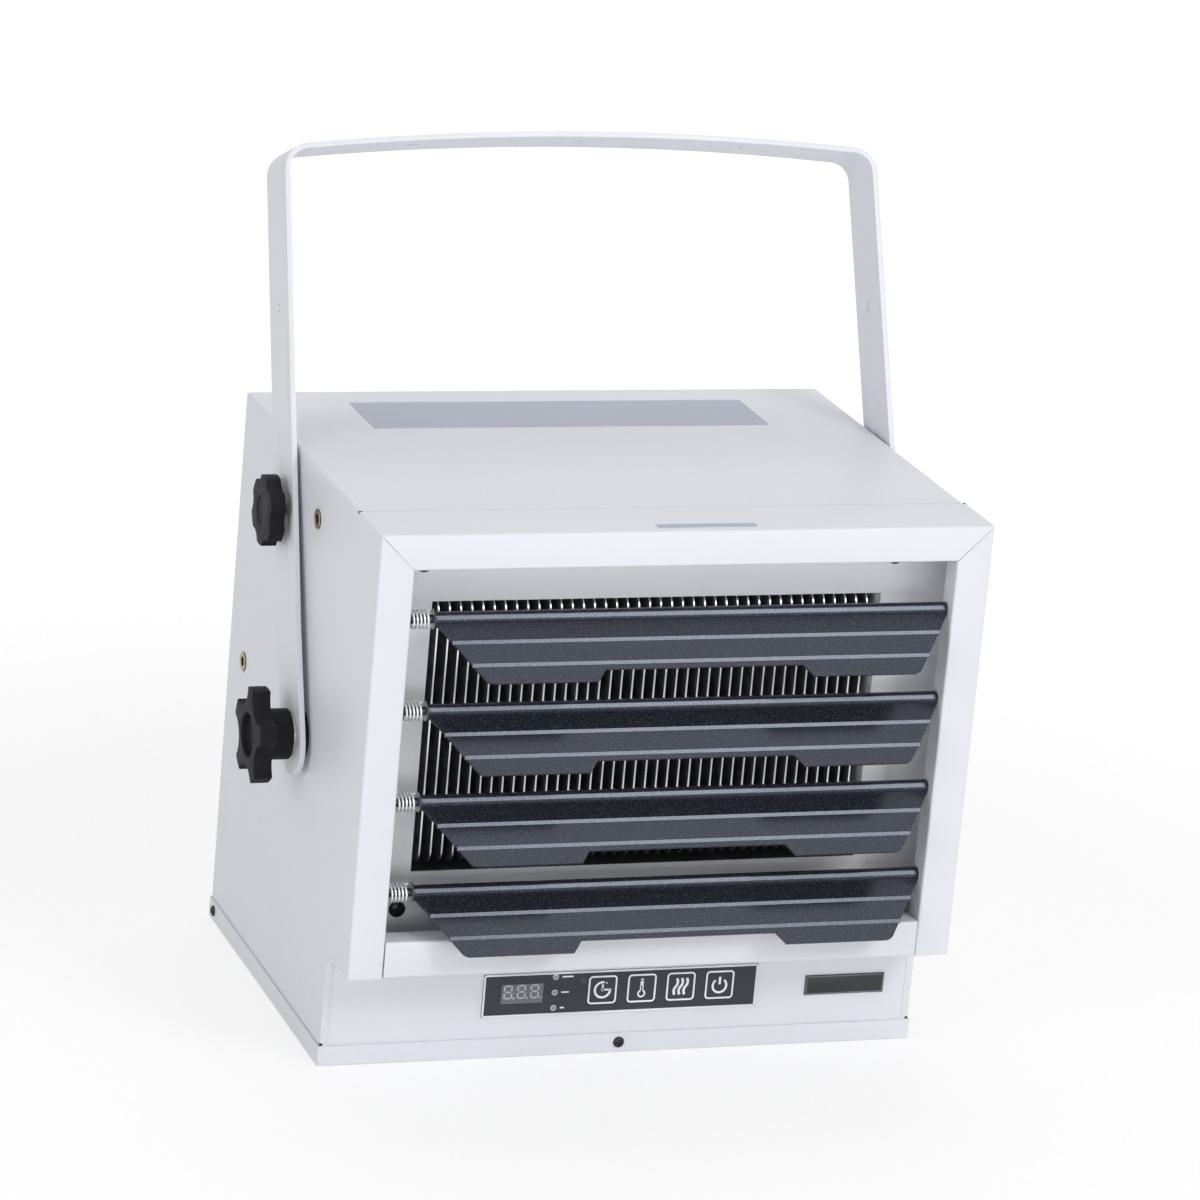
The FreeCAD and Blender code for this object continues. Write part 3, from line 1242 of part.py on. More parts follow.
# Power electronics on the tray's floor, and the cable gland in the rear panel
def make_power():
    floor = "sheet"
    under = "(sheet + standoff)"
    over = "(sheet + standoff + board_thick)"
    board = box("power_plate", ("-power_width / 2", "power_width / 2"),
                ("power_back - power_depth / 2", "power_back + power_depth / 2"), (under, over))
    legs = []
    for sign in (-1, 1):
        for lift in (-1, 1):
            legs.append(rod(f"power_leg_{sign}_{lift}", "standoff_radius", "z", floor, over,
                            f"{sign} * (power_width / 2 - 2 * standoff_radius)",
                            f"power_back + {lift} * (power_depth / 2 - 2 * standoff_radius)"))
    node("power_board", fuse("power_board", [board] + legs))
    relays = [box(f"relay_{step}", (f"{step} * relay_pitch - relay_length / 2",
                                    f"{step} * relay_pitch + relay_length / 2"),
                  ("power_back - relay_width / 2", "power_back + relay_width / 2"),
                  (over, f"{over} + relay_height"))
              for step in (-1, 0, 1)]
    node("relays", group("relays", relays))
    block = box("block_case", ("block_right - block_length / 2", "block_right + block_length / 2"),
                ("block_back - block_width / 2", "block_back + block_width / 2"),
                (floor, f"{floor} + block_height"))
    wells = [rod(f"block_well_{step}", "block_width / 8", "z", f"{floor} + block_height / 2",
                 f"{floor} + block_height + 1",
                 f"block_right + {step} * block_length / 3.5", "block_back") for step in (-1, 0, 1)]
    node("terminal_block", cut("terminal_block", block, wells))
    inside = f"({REAR} - sheet)"
    neck = rod("gland_neck_tube", "gland_neck", "y", f"{inside} - gland_inside", f"{REAR} + gland_outside",
               "gland_right", "gland_up")
    collar = rod("gland_collar", "gland_radius", "y", REAR, f"{REAR} + gland_outside * 0.6", "gland_right",
                 "gland_up")
    nut = rod("gland_nut", "gland_radius", "y", f"{inside} - gland_inside * 0.7", inside, "gland_right",
              "gland_up")
    bore = rod("gland_hole", "gland_bore", "y", f"{inside} - gland_inside - 1",
               f"{REAR} + gland_outside + 1", "gland_right", "gland_up")
    node("cable_gland", cut("cable_gland", fuse("gland_solid", [neck, collar, nut]), [bore]))


# Bare plates where labels sit: the front plate, the top label and the strip on the hood
def make_plates():
    badge = box("badge_plate", ("badge_right - badge_width / 2", "badge_right + badge_width / 2"),
                (f"{FRONT} - badge_thick", FRONT), ("badge_middle - badge_height / 2",
                                                    "badge_middle + badge_height / 2"))
    node("badge_plate", badge)
    thick = ("casing_top", "casing_top + label_thick")
    label = box("top_label", ("-label_left - label_width / 2", "label_width / 2 - label_left"),
                ("label_back - label_depth / 2", "label_back + label_depth / 2"), thick)
    middle = f"({HOOD_FRONT} + strip_setback)"
    strip = box("strip_label", ("strip_right - strip_width / 2", "strip_right + strip_width / 2"),
                (f"{middle} - strip_depth / 2", f"{middle} + strip_depth / 2"), thick)
    node("label_plates", group("label_plates", [label, strip]))


def screw(name, axis, seat, outward, first, second, head_radius, head):
    """Makes a screw whose head stands on a seat, outward along the axis (1) or against it (-1)."""
    crown = rod(f"{name}_head", head_radius, axis, *span_from(seat, outward, head), first, second)
    shank = rod(f"{name}_shank", "screw_radius", axis, *span_from(seat, -outward, "screw_length"), first,
                second)
    return fuse(name, [crown, shank])


def span_from(seat, way, length):
    """Returns the (start, end) formulas of a length laid off from a seat, forwards (1) or backwards (-1)."""
    return (seat, f"{seat} + {length}") if way > 0 else (f"{seat} - {length}", seat)


def make_screws():
    wall = f"({HALF} + tray_gap + sheet)"
    end = f"({REAR} + tray_gap + sheet)"
    small = ("screw_head_radius", "screw_head")
    screws = [screw("screw_front", "y", f"(-{end})", -1, "0", "tray_screw_up", *small),
              screw("screw_rear", "y", end, 1, "0", "tray_screw_up", *small)]
    for name, sign in SIDES.items():
        screws.append(screw(f"screw_{name}", "x", f"({sign} * {wall})", sign,
                            f"{REAR} - tray_screw_from_rear",
                            "tray_screw_up", *small))
    for index, (across, up) in enumerate(rear_screw_places()):
        screws.append(screw(f"screw_back_{index}", "y", REAR, 1, across, up, *small))
    node("casing_screws", group("casing_screws", screws))
    recess = [screw(f"screw_recess_{index}", "y", RECESS, -1, across, up, "recess_head_radius", "recess_head")
              for index, (across, up) in enumerate(recess_screw_places())]
    node("recess_screws", group("recess_screws", recess))


def main():
    make_casing_wrap()
    make_rear_panel()
    make_base_tray()
    make_front_hood()
    make_lower_bar()
    make_recess_panel()
    make_air_duct()
    make_fin_pack()
    make_heating_tubes()
    make_thermal_cutout()
    make_fan_shroud()
    make_fan()
    make_motor()
    spring = spring_shape()
    for index in louvers():
        make_louver(index)
        make_louver_rod(index)
        make_louver_spring(index, spring)
    make_yoke()
    make_knobs()
    make_control_panel()
    make_keys()
    make_control_board()
    make_power()
    make_plates()
    make_screws()
    doc.recompute()
    failed = [item.Name for item in doc.Objects if "Invalid" in item.State or "Error" in item.State]
    failed += [name for name, item in NODES.items() if item.Shape.isNull() or not item.Shape.isValid()]
    if failed:
        raise RuntimeError(f"pieces that did not build: {failed}")
    os.makedirs("parts", exist_ok=True)
    for name, item in NODES.items():
        item.Shape.exportStep(f"parts/{name}.step")
    print(f"{len(NODES)} sub-parts written")


main()
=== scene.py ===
"""Looks of the garage heater: a finish for every CAD node, and finer meshes for what shows up close."""
from __future__ import annotations

import json
import logging
import math
from collections.abc import Sequence
from dataclasses import dataclass, field, replace
from enum import Enum
from functools import cache, reduce

import bmesh
import bpy
from mathutils import Matrix, Vector

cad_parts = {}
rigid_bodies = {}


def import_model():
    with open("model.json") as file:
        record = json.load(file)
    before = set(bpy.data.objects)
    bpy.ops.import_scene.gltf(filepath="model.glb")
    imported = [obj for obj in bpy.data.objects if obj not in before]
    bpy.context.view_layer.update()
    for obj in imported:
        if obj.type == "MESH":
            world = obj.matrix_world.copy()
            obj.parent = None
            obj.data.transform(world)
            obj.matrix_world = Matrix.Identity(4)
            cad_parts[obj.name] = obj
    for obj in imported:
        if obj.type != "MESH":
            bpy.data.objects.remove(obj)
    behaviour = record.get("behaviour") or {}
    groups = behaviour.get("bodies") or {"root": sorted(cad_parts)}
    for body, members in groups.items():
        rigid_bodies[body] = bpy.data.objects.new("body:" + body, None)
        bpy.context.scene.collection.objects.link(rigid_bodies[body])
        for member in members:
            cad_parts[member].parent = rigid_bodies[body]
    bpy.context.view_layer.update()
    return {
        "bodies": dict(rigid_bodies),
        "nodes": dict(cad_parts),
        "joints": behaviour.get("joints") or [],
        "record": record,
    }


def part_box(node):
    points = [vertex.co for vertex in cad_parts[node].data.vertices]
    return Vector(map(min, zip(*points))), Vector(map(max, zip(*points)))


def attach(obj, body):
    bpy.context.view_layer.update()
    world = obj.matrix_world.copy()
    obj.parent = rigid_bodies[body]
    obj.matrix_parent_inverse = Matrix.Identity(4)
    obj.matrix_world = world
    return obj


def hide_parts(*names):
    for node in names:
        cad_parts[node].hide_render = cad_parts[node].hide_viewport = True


log = logging.getLogger("garage_heater")
BMesh = bmesh.types.BMesh
Socket = bpy.types.NodeSocket
Colour = tuple[float, float, float]
Spot = tuple[float, float]
Point = Sequence[float]
Settings = dict[str | int, object]


class Side(Enum):
    """The heater's two sides, as the sign of x."""

    LEFT = -1
    RIGHT = 1


class KeyMark(Enum):
    """The four keys, by what each sets."""

    TIMER = "timer"
    TEMPERATURE = "temperature"
    MODE = "mode"
    POWER = "power"


def mm(value: float) -> float:
    """Turns millimetres into metres."""
    return value * 0.001


def turn(degrees: float, axis: str) -> Matrix:
    """Returns a rotation about one axis."""
    return Matrix.Rotation(math.radians(degrees), 4, axis)


def rgba(colour: Sequence[float]) -> tuple[float, ...]:
    """Returns a colour with full cover."""
    return (*colour, 1.0)


TO_FRONT = turn(90, "X")
TO_REAR = turn(-90, "X")
TO_RIGHT = turn(90, "Y")
DOWN = (0, 0, -1)
UP = (0, 0, 1)
PURE_WHITE = rgba((1.0, 1.0, 1.0))


@dataclass(frozen=True)
class Noise:
    """A noise pattern in the object's own space.

    Attributes:
        scale: Repeats per metre.
        detail: Octaves of finer noise.
        stretch: Scale of each axis, where the pattern is drawn out.
    """

    scale: float
    detail: float = 2.0
    stretch: tuple[float, ...] = (1.0, 1.0, 1.0)


class Graph:
    """The node tree of a material or a world, with the few node kinds that the looks need."""

    def __init__(self, owner: bpy.types.Material | bpy.types.World) -> None:
        """Opens the tree.

        Args:
            owner: The material or world, just made.
        """
        owner.use_nodes = True
        self.owner = owner
        self.tree = owner.node_tree
        self.shader = self.tree.nodes.get("Principled BSDF")

    def fill(self, node: bpy.types.Node, settings: Settings) -> bpy.types.Node:
        """Sets a node up.

        Args:
            node: The node.
            settings: Properties by name, and inputs by name or number, each with a value or a socket.

        Returns:
            The node.
        """
        for name, value in settings.items():
            if isinstance(name, str) and name not in node.inputs:
                setattr(node, name, value)
            elif isinstance(value, Socket):
                self.tree.links.new(value, node.inputs[name])
            else:
                node.inputs[name].default_value = value
        return node

    def add(self, kind: str, settings: Settings | None = None) -> bpy.types.Node:
        """Adds a node of a kind, named without its prefix, with the settings that fill takes."""
        return self.fill(self.tree.nodes.new(f"ShaderNode{kind}"), settings or {})

    def coat(self, settings: Settings) -> None:
        """Sets inputs of the material's shader."""
        self.fill(self.shader, settings)

    def coords(self, kind: str) -> Socket:
        """Returns the object's own coordinates of a kind, such as Object or Normal."""
        return self.add("TexCoord").outputs[kind]

    def calc(self, operation: str, *values: Socket | float) -> Socket:
        """Returns the result of a calculation with sockets and numbers."""
        return self.add("Math", {"operation": operation, **dict(enumerate(values))}).outputs["Value"]

    def noise(self, noise: Noise) -> Socket:
        """Returns the value of a noise pattern."""
        at = self.add("Mapping", {"Vector": self.coords("Object"), "Scale": noise.stretch}).outputs[0]
        return self.add("TexNoise", {"Vector": at, "Scale": noise.scale, "Detail": noise.detail}).outputs[0]

    def ramp(self, value: Socket, stops: Sequence[tuple[float, Colour]]) -> Socket:
        """Turns a value into a colour.

        Args:
            value: The value to look up.
            stops: Places from 0 to 1 with their colours.

        Returns:
            The colour.
        """
        node = self.add("ValToRGB", {0: value})
        elements = node.color_ramp.elements
        while len(elements) < len(stops):
            elements.new(0.5)
        for element, (place, colour) in zip(elements, stops):
            element.position = place
            element.color = rgba(colour)
        return node.outputs["Color"]

    def spread(self, value: Socket, low: float, high: float) -> Socket:
        """Maps a value from 0 to 1 onto another range."""
        return self.add("MapRange", {"Value": value, "To Min": low, "To Max": high}).outputs["Result"]

    def blend(self, share: Socket | float, first: Socket, second: Socket | Point,
              kind: str = "MIX") -> Socket:
        """Returns a first colour with a share of a second one mixed in."""
        settings = {"data_type": "RGBA", "blend_type": kind, 0: share, 6: first, 7: second}
        return self.add("Mix", settings).outputs[2]

    def facing(self, axis: str, value: float, margin: float) -> Socket:
        """Returns 1 on faces whose normal has about a given value along an axis, and 0 elsewhere."""
        normal = self.add("SeparateXYZ", {"Vector": self.coords("Normal")})
        return self.calc("COMPARE", normal.outputs[axis], value, margin)

    def seen(self) -> Socket:
        """Returns 1 for what is seen, also through glass or in a mirror, and 0 for what only sheds light."""
        path, rays = self.add("LightPath").outputs, ("Is Camera Ray", "Is Glossy Ray", "Is Transmission Ray")
        return reduce(lambda total, ray: self.calc("MAXIMUM", total, path[ray]), rays[1:], path[rays[0]])

    def bump(self, height: Socket, strength: float, distance: float) -> None:
        """Lets a pattern raise the surface, by a strength from 0 to 1 and a height in metres."""
        settings = {"Height": height, "Strength": strength, "Distance": distance}
        self.coat({"Normal": self.add("Bump", settings).outputs["Normal"]})


@dataclass(frozen=True)
class Patch:
    """A colour for the faces that are turned a certain way: the normal's axis, its value and a margin."""

    axis: str
    value: float
    margin: float
    colour: Colour


@dataclass(frozen=True)
class Finish:
    """A surface finish, by default moulded plastic with a spark-eroded grain.

    Attributes:
        name: The material's name.
        slot: The record's material slot.
        colour: Base colour.
        roughness: From mirror 0 to chalk 1.
        metallic: 1 for bare metal.
        shine: Strength of the clear reflection on top.
        noises: Patterns of the tone, the gloss and the relief.
        ends: Where on the tone's pattern the tones stand.
        tones: Shares of the base colour there.
        specks: Further places on the tone's pattern, with colours of their own.
        gloss: What the gloss's pattern adds to the roughness at 0 and at 1.
        relief: How much of the relief shows, and its height in metres.
        reflection: Tint of the clear reflection.
        patch: Faces with another colour.
    """

    name: str
    slot: str
    colour: Colour
    roughness: float = 0.5
    metallic: float = 0.0
    shine: float = 0.5
    noises: tuple[Noise, ...] = (Noise(30.0), Noise(240.0), Noise(1500.0))
    ends: Spot = (0.3, 0.7)
    tones: Spot = (0.85, 1.15)
    specks: tuple[tuple[float, Colour], ...] = ()
    gloss: Spot = (-0.05, 0.07)
    relief: Spot = (0.3, mm(0.08))
    reflection: Colour = (1.0, 1.0, 1.0)
    patch: Patch | None = None

    @cache
    def make(self) -> bpy.types.Material:
        """Builds the material, once.

        Returns:
            The material.
        """
        graph = Graph(bpy.data.materials.new(self.name))
        graph.coat({"Base Color": rgba(self.colour), "Roughness": self.roughness, "Metallic": self.metallic,
                    "Specular IOR Level": self.shine, "Specular Tint": rgba(self.reflection)})
        self.detail(graph)
        return graph.owner

    def tone(self, graph: Graph, pattern: Socket) -> Socket:
        """Colours a pattern.

        Args:
            graph: The material's nodes.
            pattern: The pattern.

        Returns:
            The base colour, darker and lighter along the pattern, with the specks and the patch.
        """
        stops = [(end, tuple(min(1.0, part * share) for part in self.colour))
                 for end, share in zip(self.ends, self.tones)]
        tone = graph.ramp(pattern, [*stops, *self.specks])
        if self.patch:
            turned_so = graph.facing(self.patch.axis, self.patch.value, self.patch.margin)
            tone = graph.blend(turned_so, tone, rgba(self.patch.colour))
        return tone

    def sheen(self, graph: Graph, pattern: Socket) -> Socket:
        """Returns the roughness, higher and lower along a pattern."""
        return graph.spread(pattern, *(self.roughness + step for step in self.gloss))

    def detail(self, graph: Graph) -> None:
        """Varies the tone, the gloss and the relief."""
        patterns = {noise: graph.noise(noise) for noise in set(self.noises)}
        tone, gloss, relief = (patterns[noise] for noise in self.noises)
        graph.coat({"Base Color": self.tone(graph, tone), "Roughness": self.sheen(graph, gloss)})
        graph.bump(relief, *self.relief)


@dataclass(frozen=True)
class PowderCoat(Finish):
    """Baked powder paint: a faint orange peel and a slow drift of tone."""

    noises: tuple[Noise, ...] = (Noise(7.0, 1.0), Noise(60.0), Noise(900.0, 1.0))
    tones: Spot = (0.97, 1.0)
    gloss: Spot = (-0.06, 0.06)
    relief: Spot = (0.25, mm(0.06))


@dataclass(frozen=True)
class MetalFlake(Finish):
    """Dark paint with fine bright flakes in it and a cool sheen."""

    noises: tuple[Noise, ...] = (Noise(1500.0, 4.0),) * 3
    ends: Spot = (0.4, 0.54)
    tones: Spot = (0.6, 1.0)
    gloss: Spot = (0.07, -0.07)
    relief: Spot = (0.12, mm(0.08))
    reflection: Colour = (0.78, 0.86, 1.0)


@dataclass(frozen=True)
class Brushed(Finish):
    """Drawn or rolled bare metal with fine lines along one axis."""

    noises: tuple[Noise, ...] = (Noise(6.0, 3.0, (4.0, 260.0, 260.0)),) * 3
    tones: Spot = (0.82, 1.06)
    gloss: Spot = (-0.08, 0.1)
    relief: Spot = (0.12, mm(0.04))


@dataclass(frozen=True)
class BrightEdge(Finish):
    """Dark coat on fins whose sheared front edges stayed bare.

    Attributes:
        reach: y in front of which the narrow faces are bare, in metres.
        strip: y in front of which the broad faces are bare too, in metres.
        bare: Colour of the bare metal.
        polish: Roughness of the bare metal.
    """

    noises: tuple[Noise, ...] = (Noise(120.0, 3.0),)
    tones: Spot = (0.6, 1.4)
    reach: float = 0.0
    strip: float = 0.0
    bare: Colour = (0.95, 0.95, 0.96)
    polish: float = 0.35

    def detail(self, graph: Graph) -> None:
        """Shows bare metal on the fins' front edges and soot elsewhere."""
        y = graph.add("SeparateXYZ", {"Vector": graph.coords("Object")}).outputs["Y"]
        ahead, tip = (graph.calc("LESS_THAN", y, limit) for limit in (self.reach, self.strip))
        edge = graph.calc("MAXIMUM", graph.calc("MULTIPLY", graph.facing("X", 0.0, 0.5), ahead), tip)
        soot = self.tone(graph, graph.noise(self.noises[0]))
        graph.coat({"Base Color": graph.blend(edge, soot, rgba(self.bare)), "Metallic": edge,
                    "Roughness": graph.spread(edge, self.roughness, self.polish)})


@dataclass(frozen=True)
class Spangle(Finish):
    """Zinc-coated sheet with its crystal pattern, of so many cells per metre."""

    ends: Spot = (0.0, 1.0)
    tones: Spot = (0.82, 1.1)
    gloss: Spot = (-0.1, 0.12)
    cell: float = 160.0

    def detail(self, graph: Graph) -> None:
        """Gives each crystal its own tone and gloss."""
        crystal = graph.add("TexVoronoi", {"Vector": graph.coords("Object"), "Scale": self.cell})
        shade = graph.add("SeparateColor", {"Color": crystal.outputs["Color"]}).outputs
        graph.coat({"Base Color": self.tone(graph, shade["Red"]),
                    "Roughness": self.sheen(graph, shade["Green"])})


@dataclass(frozen=True)
class Thread(Finish):
    """Plated metal with the rings of a thread along x, and with its bore walls painted dark as painted shade.

    Attributes:
        bands: Rings per metre, in the wave pattern's own measure.
        groove: How much the rings darken the plating.
        bore: Colour of the faces turned across x, the bore walls, as painted shade.
    """

    noises: tuple[Noise, ...] = (Noise(500.0, 3.0),)
    tones: Spot = (0.75, 1.15)
    relief: Spot = (0.6, mm(0.3))
    bands: float = 314.0
    groove: float = 0.55
    bore: Colour = (0.03, 0.025, 0.016)

    def detail(self, graph: Graph) -> None:
        """Adds the rings, the plating's uneven tint and the painted shade in the bores."""
        settings = {"bands_direction": "X", "Vector": graph.coords("Object"), "Scale": self.bands}
        wave = graph.add("TexWave", {**settings, "Distortion": 0.0}).outputs
        plating = self.tone(graph, graph.noise(self.noises[0]))
        ringed = graph.blend(self.groove, plating, wave["Color"], "MULTIPLY")
        # Faces turned across x, the bore walls, take the bore colour: painted shade in the holes.
        graph.coat({"Base Color": graph.blend(graph.facing("X", 0.0, 0.3), ringed, rgba(self.bore))})
        graph.bump(wave["Fac"], *self.relief)


def moulded(grain: float, depth: float) -> dict[str, tuple]:
    """Returns the patterns of a moulded piece whose relief has another grain and depth."""
    return {"noises": (Noise(30.0), Noise(240.0), Noise(grain)), "relief": (0.3, depth)}


FILM_GRAIN = moulded(2500.0, mm(0.02))
INK_GRAIN = moulded(2500.0, mm(0.01))
LENS_GRAIN = moulded(2000.0, mm(0.01))
LAMP_GRAIN = moulded(2000.0, mm(0.02))

WHITE = PowderCoat("powder_white", "casing_white", (0.740, 0.757, 0.806), 0.42)
# The recess panel has the casing's white paint; this lighter copy of it is painted light against the shade
# inside the hood.
RECESS = PowderCoat("powder_grey", "recess_grey", (0.91, 0.93, 0.965), 0.36)
MOTOR = PowderCoat("motor_enamel", "motor_dark", (0.05, 0.05, 0.055), 0.4)
CHARCOAL = MetalFlake("flake_charcoal", "louver_charcoal", (0.018, 0.020, 0.029), 0.2,
                      specks=((0.7, (0.075, 0.08, 0.105)),))
FIN = BrightEdge("fin_coat", "fin_dark", (0.12, 0.125, 0.15), 0.5, 0.0, 0.4,
                 reach=mm(-109.0), strip=mm(-116.4))
# The duct is a lighter, non-metallic copy of the galvanised sheet, as painted light on its shaded walls; its
# patch paints the up-facing floor faces near-black as painted shade.
DUCT = Spangle("duct_zinc", "galvanised", (0.80, 0.82, 0.86), 0.4,
               patch=Patch("Z", 1.0, 0.5, (0.05, 0.05, 0.055)))
ZINC_SHEET = Spangle("zinc_sheet", "galvanised", (0.55, 0.57, 0.59), 0.42, 0.9)
ZINC = Thread("yellow_zinc", "nut_zinc", (0.50, 0.42, 0.25), 0.3, 0.9)
SPRING_STEEL = Brushed("spring_steel", "rod_steel", (0.90, 0.91, 0.93), 0.25, 0.55,
                       noises=(Noise(1.0, 3.0, (900.0, 900.0, 900.0)),) * 3)
DARK_STEEL = Brushed("dark_steel", "rod_steel", (0.55, 0.56, 0.58), 0.35, 0.9,
                     patch=Patch("X", 0.0, 0.5, (0.05, 0.05, 0.06)))
BRIGHT_STEEL = Brushed("bright_steel", "rod_steel", (0.60, 0.61, 0.62), 0.3, 1.0)
TUBE_STEEL = Brushed("tube_steel", "tube_steel", (0.30, 0.27, 0.24), 0.4, 1.0)
FAN = Brushed("fan_alloy", "fan_alloy", (0.45, 0.46, 0.47), 0.4, 1.0)
SCREW = Brushed("black_screw", "screw_black", (0.035, 0.035, 0.04), 0.3, 0.6)
FOIL = Brushed("label_foil", "label_silver", (0.41, 0.45, 0.54), 0.38, 0.15,
               noises=(Noise(6.0, 3.0, (3.0, 220.0, 220.0)),) * 3)
KNOB = Finish("knob_plastic", "knob_black", (0.010, 0.010, 0.015), 0.6, 0.0, 0.16)
FILM = Finish("overlay_film", "overlay_dark", (0.028, 0.032, 0.046), 0.34, 0.0, 0.4, **FILM_GRAIN)
KEY_FILM = replace(FILM, name="key_film", slot="key_dark")
INK = Finish("pale_ink", "key_dark", (0.87, 0.90, 0.94), 0.5, **INK_GRAIN)
BORDER = Finish("film_border", "overlay_dark", (0.78, 0.80, 0.84), 0.35, **INK_GRAIN)
BADGE = Finish("dark_plate", "badge_dark", (0.018, 0.019, 0.024), 0.3, **INK_GRAIN)
DISPLAY = Finish("display_face", "display_grey", (0.15, 0.155, 0.175), 0.3, **LENS_GRAIN)
SEGMENT = Finish("display_segment", "display_grey", (0.50, 0.51, 0.55), 0.35, **LENS_GRAIN)
WINDOW = Finish("receiver_lens", "window_dark", (0.055, 0.056, 0.066), 0.25, **LENS_GRAIN)
LAMP = Finish("lamp_lens", "lamp_lens", (0.30, 0.30, 0.31), 0.2, **LAMP_GRAIN)
LAMP_RIM = Finish("lamp_rim", "lamp_lens", (0.80, 0.80, 0.80), 0.25, **LAMP_GRAIN)
BOARD = Finish("circuit_board", "board_green", (0.03, 0.14, 0.06), 0.45)
RELAY = Finish("black_case", "relay_black", (0.02, 0.02, 0.022), 0.5)
TERMINAL = Finish("pale_case", "block_white", (0.70, 0.68, 0.62), 0.5)
# Near-black slabs in the seams and relief cuts stand in for the shade there: painted shade.
PAINTED_GAP_SHADE = Finish("dark_gap", "relay_black", (0.02, 0.02, 0.022), 0.8, 0.0, 0.1)


def put(name: str, data: bpy.types.ID) -> bpy.types.Object:
    """Puts a new object with its mesh, lamp or camera into the scene and returns it."""
    bpy.context.scene.collection.objects.link(made := bpy.data.objects.new(name, data))
    return made


def to_mesh(name: str, bm: BMesh) -> bpy.types.Mesh:
    """Turns a bmesh into a mesh and frees it.

    Args:
        name: The mesh's name.
        bm: The bmesh.

    Returns:
        The mesh.
    """
    mesh = bpy.data.meshes.new(name)
    bm.to_mesh(mesh)
    bm.free()
    return mesh


def join(bm: BMesh, part: BMesh) -> None:
    """Adds one bmesh to another and frees it."""
    mesh = to_mesh("part", part)
    bm.from_mesh(mesh)
    bpy.data.meshes.remove(mesh)


def bevel(bm: BMesh, geom: list, offset: float, segments: int, affect: str = "EDGES",
          clamp: bool = False) -> None:
    """Rounds edges or corners.

    Args:
        bm: The mesh.
        geom: The edges or vertices.
        offset: Width of the rounding.
        segments: Faces across it.
        affect: EDGES or VERTICES.
        clamp: Whether roundings stop where they meet.
    """
    bmesh.ops.bevel(bm, geom=geom, offset=offset, offset_type="OFFSET", segments=segments, profile=0.5,
                    affect=affect, clamp_overlap=clamp, material=-1)


def thicken(bm: BMesh, way: Point) -> None:
    """Extrudes all faces of a mesh into closed bodies.

    Args:
        bm: The mesh.
        way: How far the far side lies off.
    """
    made = bmesh.ops.extrude_face_region(bm, geom=bm.faces[:])
    moved = [item for item in made["geom"] if isinstance(item, bmesh.types.BMVert)]
    bmesh.ops.translate(bm, verts=moved, vec=way)
    bmesh.ops.recalc_face_normals(bm, faces=bm.faces[:])


def slab(bm: BMesh, low: Point, high: Point, round_over: float = 0.0) -> None:
    """Adds a block with rounded edges to a mesh.

    Args:
        bm: The mesh.
        low: Lowest corner.
        high: Highest corner.
        round_over: Radius of its edges.
    """
    size = Vector(high) - Vector(low)
    middle = (Vector(high) + Vector(low)) / 2
    matrix = Matrix.Translation(middle) @ Matrix.Diagonal((*size, 1.0))
    made = bmesh.ops.create_cube(bm, size=1.0, matrix=matrix)
    if round_over:
        bevel(bm, list({edge for vert in made["verts"] for edge in vert.link_edges}), round_over, 3)


def twins(bm: BMesh, low: Point, high: Point, round_over: float = 0.0) -> None:
    """Adds a block on the right and its mirror image on the left.

    Args:
        bm: The mesh.
        low: Lowest corner of the one on the right.
        high: Its highest corner.
        round_over: Radius of the edges.
    """
    for side in Side:
        near, far = sorted((side.value * low[0], side.value * high[0]))
        slab(bm, (near, *low[1:]), (far, *high[1:]), round_over)


@dataclass
class Sheet:
    """Sheet metal of one thickness, folded with one radius.

    Attributes:
        thick: Thickness, laid inwards.
        fold: Outer radius of the folds.
        segments: Faces across a fold.
        crease: Angle in radians above which two faces meet in a fold.
    """

    thick: float
    fold: float
    segments: int = 5
    crease: float = 0.5

    def strip(self, bm: BMesh, section: Sequence[Point], way: Point, outward: Point,
              trims: Sequence[tuple[Point, Point]] = ()) -> None:
        """Adds a strip, folded along a chain of points.

        Args:
            bm: The mesh.
            section: The strip's outline in section, on its outer face.
            way: The strip's length.
            outward: A direction that the first face looks to.
            trims: Planes, each a point and a normal, that cut off what lies beyond them.
        """
        part = bmesh.new()
        chain, along = [Vector(point) for point in section], Vector(way)
        verts = [part.verts.new(point) for point in chain]
        edges = [part.edges.new(pair) for pair in zip(verts, verts[1:])]
        made = bmesh.ops.extrude_edge_only(part, edges=edges)
        ends = [item for item in made["geom"] if isinstance(item, bmesh.types.BMVert)]
        bmesh.ops.translate(part, verts=ends, vec=along)
        part.normal_update()
        middle = (chain[0] + chain[1] + along) / 2
        first = min(part.faces, key=lambda face: (face.calc_center_median() - middle).length)
        if first.normal.dot(Vector(outward)) < 0:
            bmesh.ops.reverse_faces(part, faces=part.faces[:])
        for point, normal in trims:
            geom = part.verts[:] + part.edges[:] + part.faces[:]
            bmesh.ops.bisect_plane(part, geom=geom, plane_co=point, plane_no=Vector(normal).normalized(),
                                   clear_outer=True)
        folds = [edge for edge in part.edges
                 if len(edge.link_faces) == 2 and edge.calc_face_angle(0.0) > self.crease]
        bevel(part, folds, self.fold, self.segments)
        bmesh.ops.solidify(part, geom=part.faces[:], thickness=self.thick)
        join(bm, part)


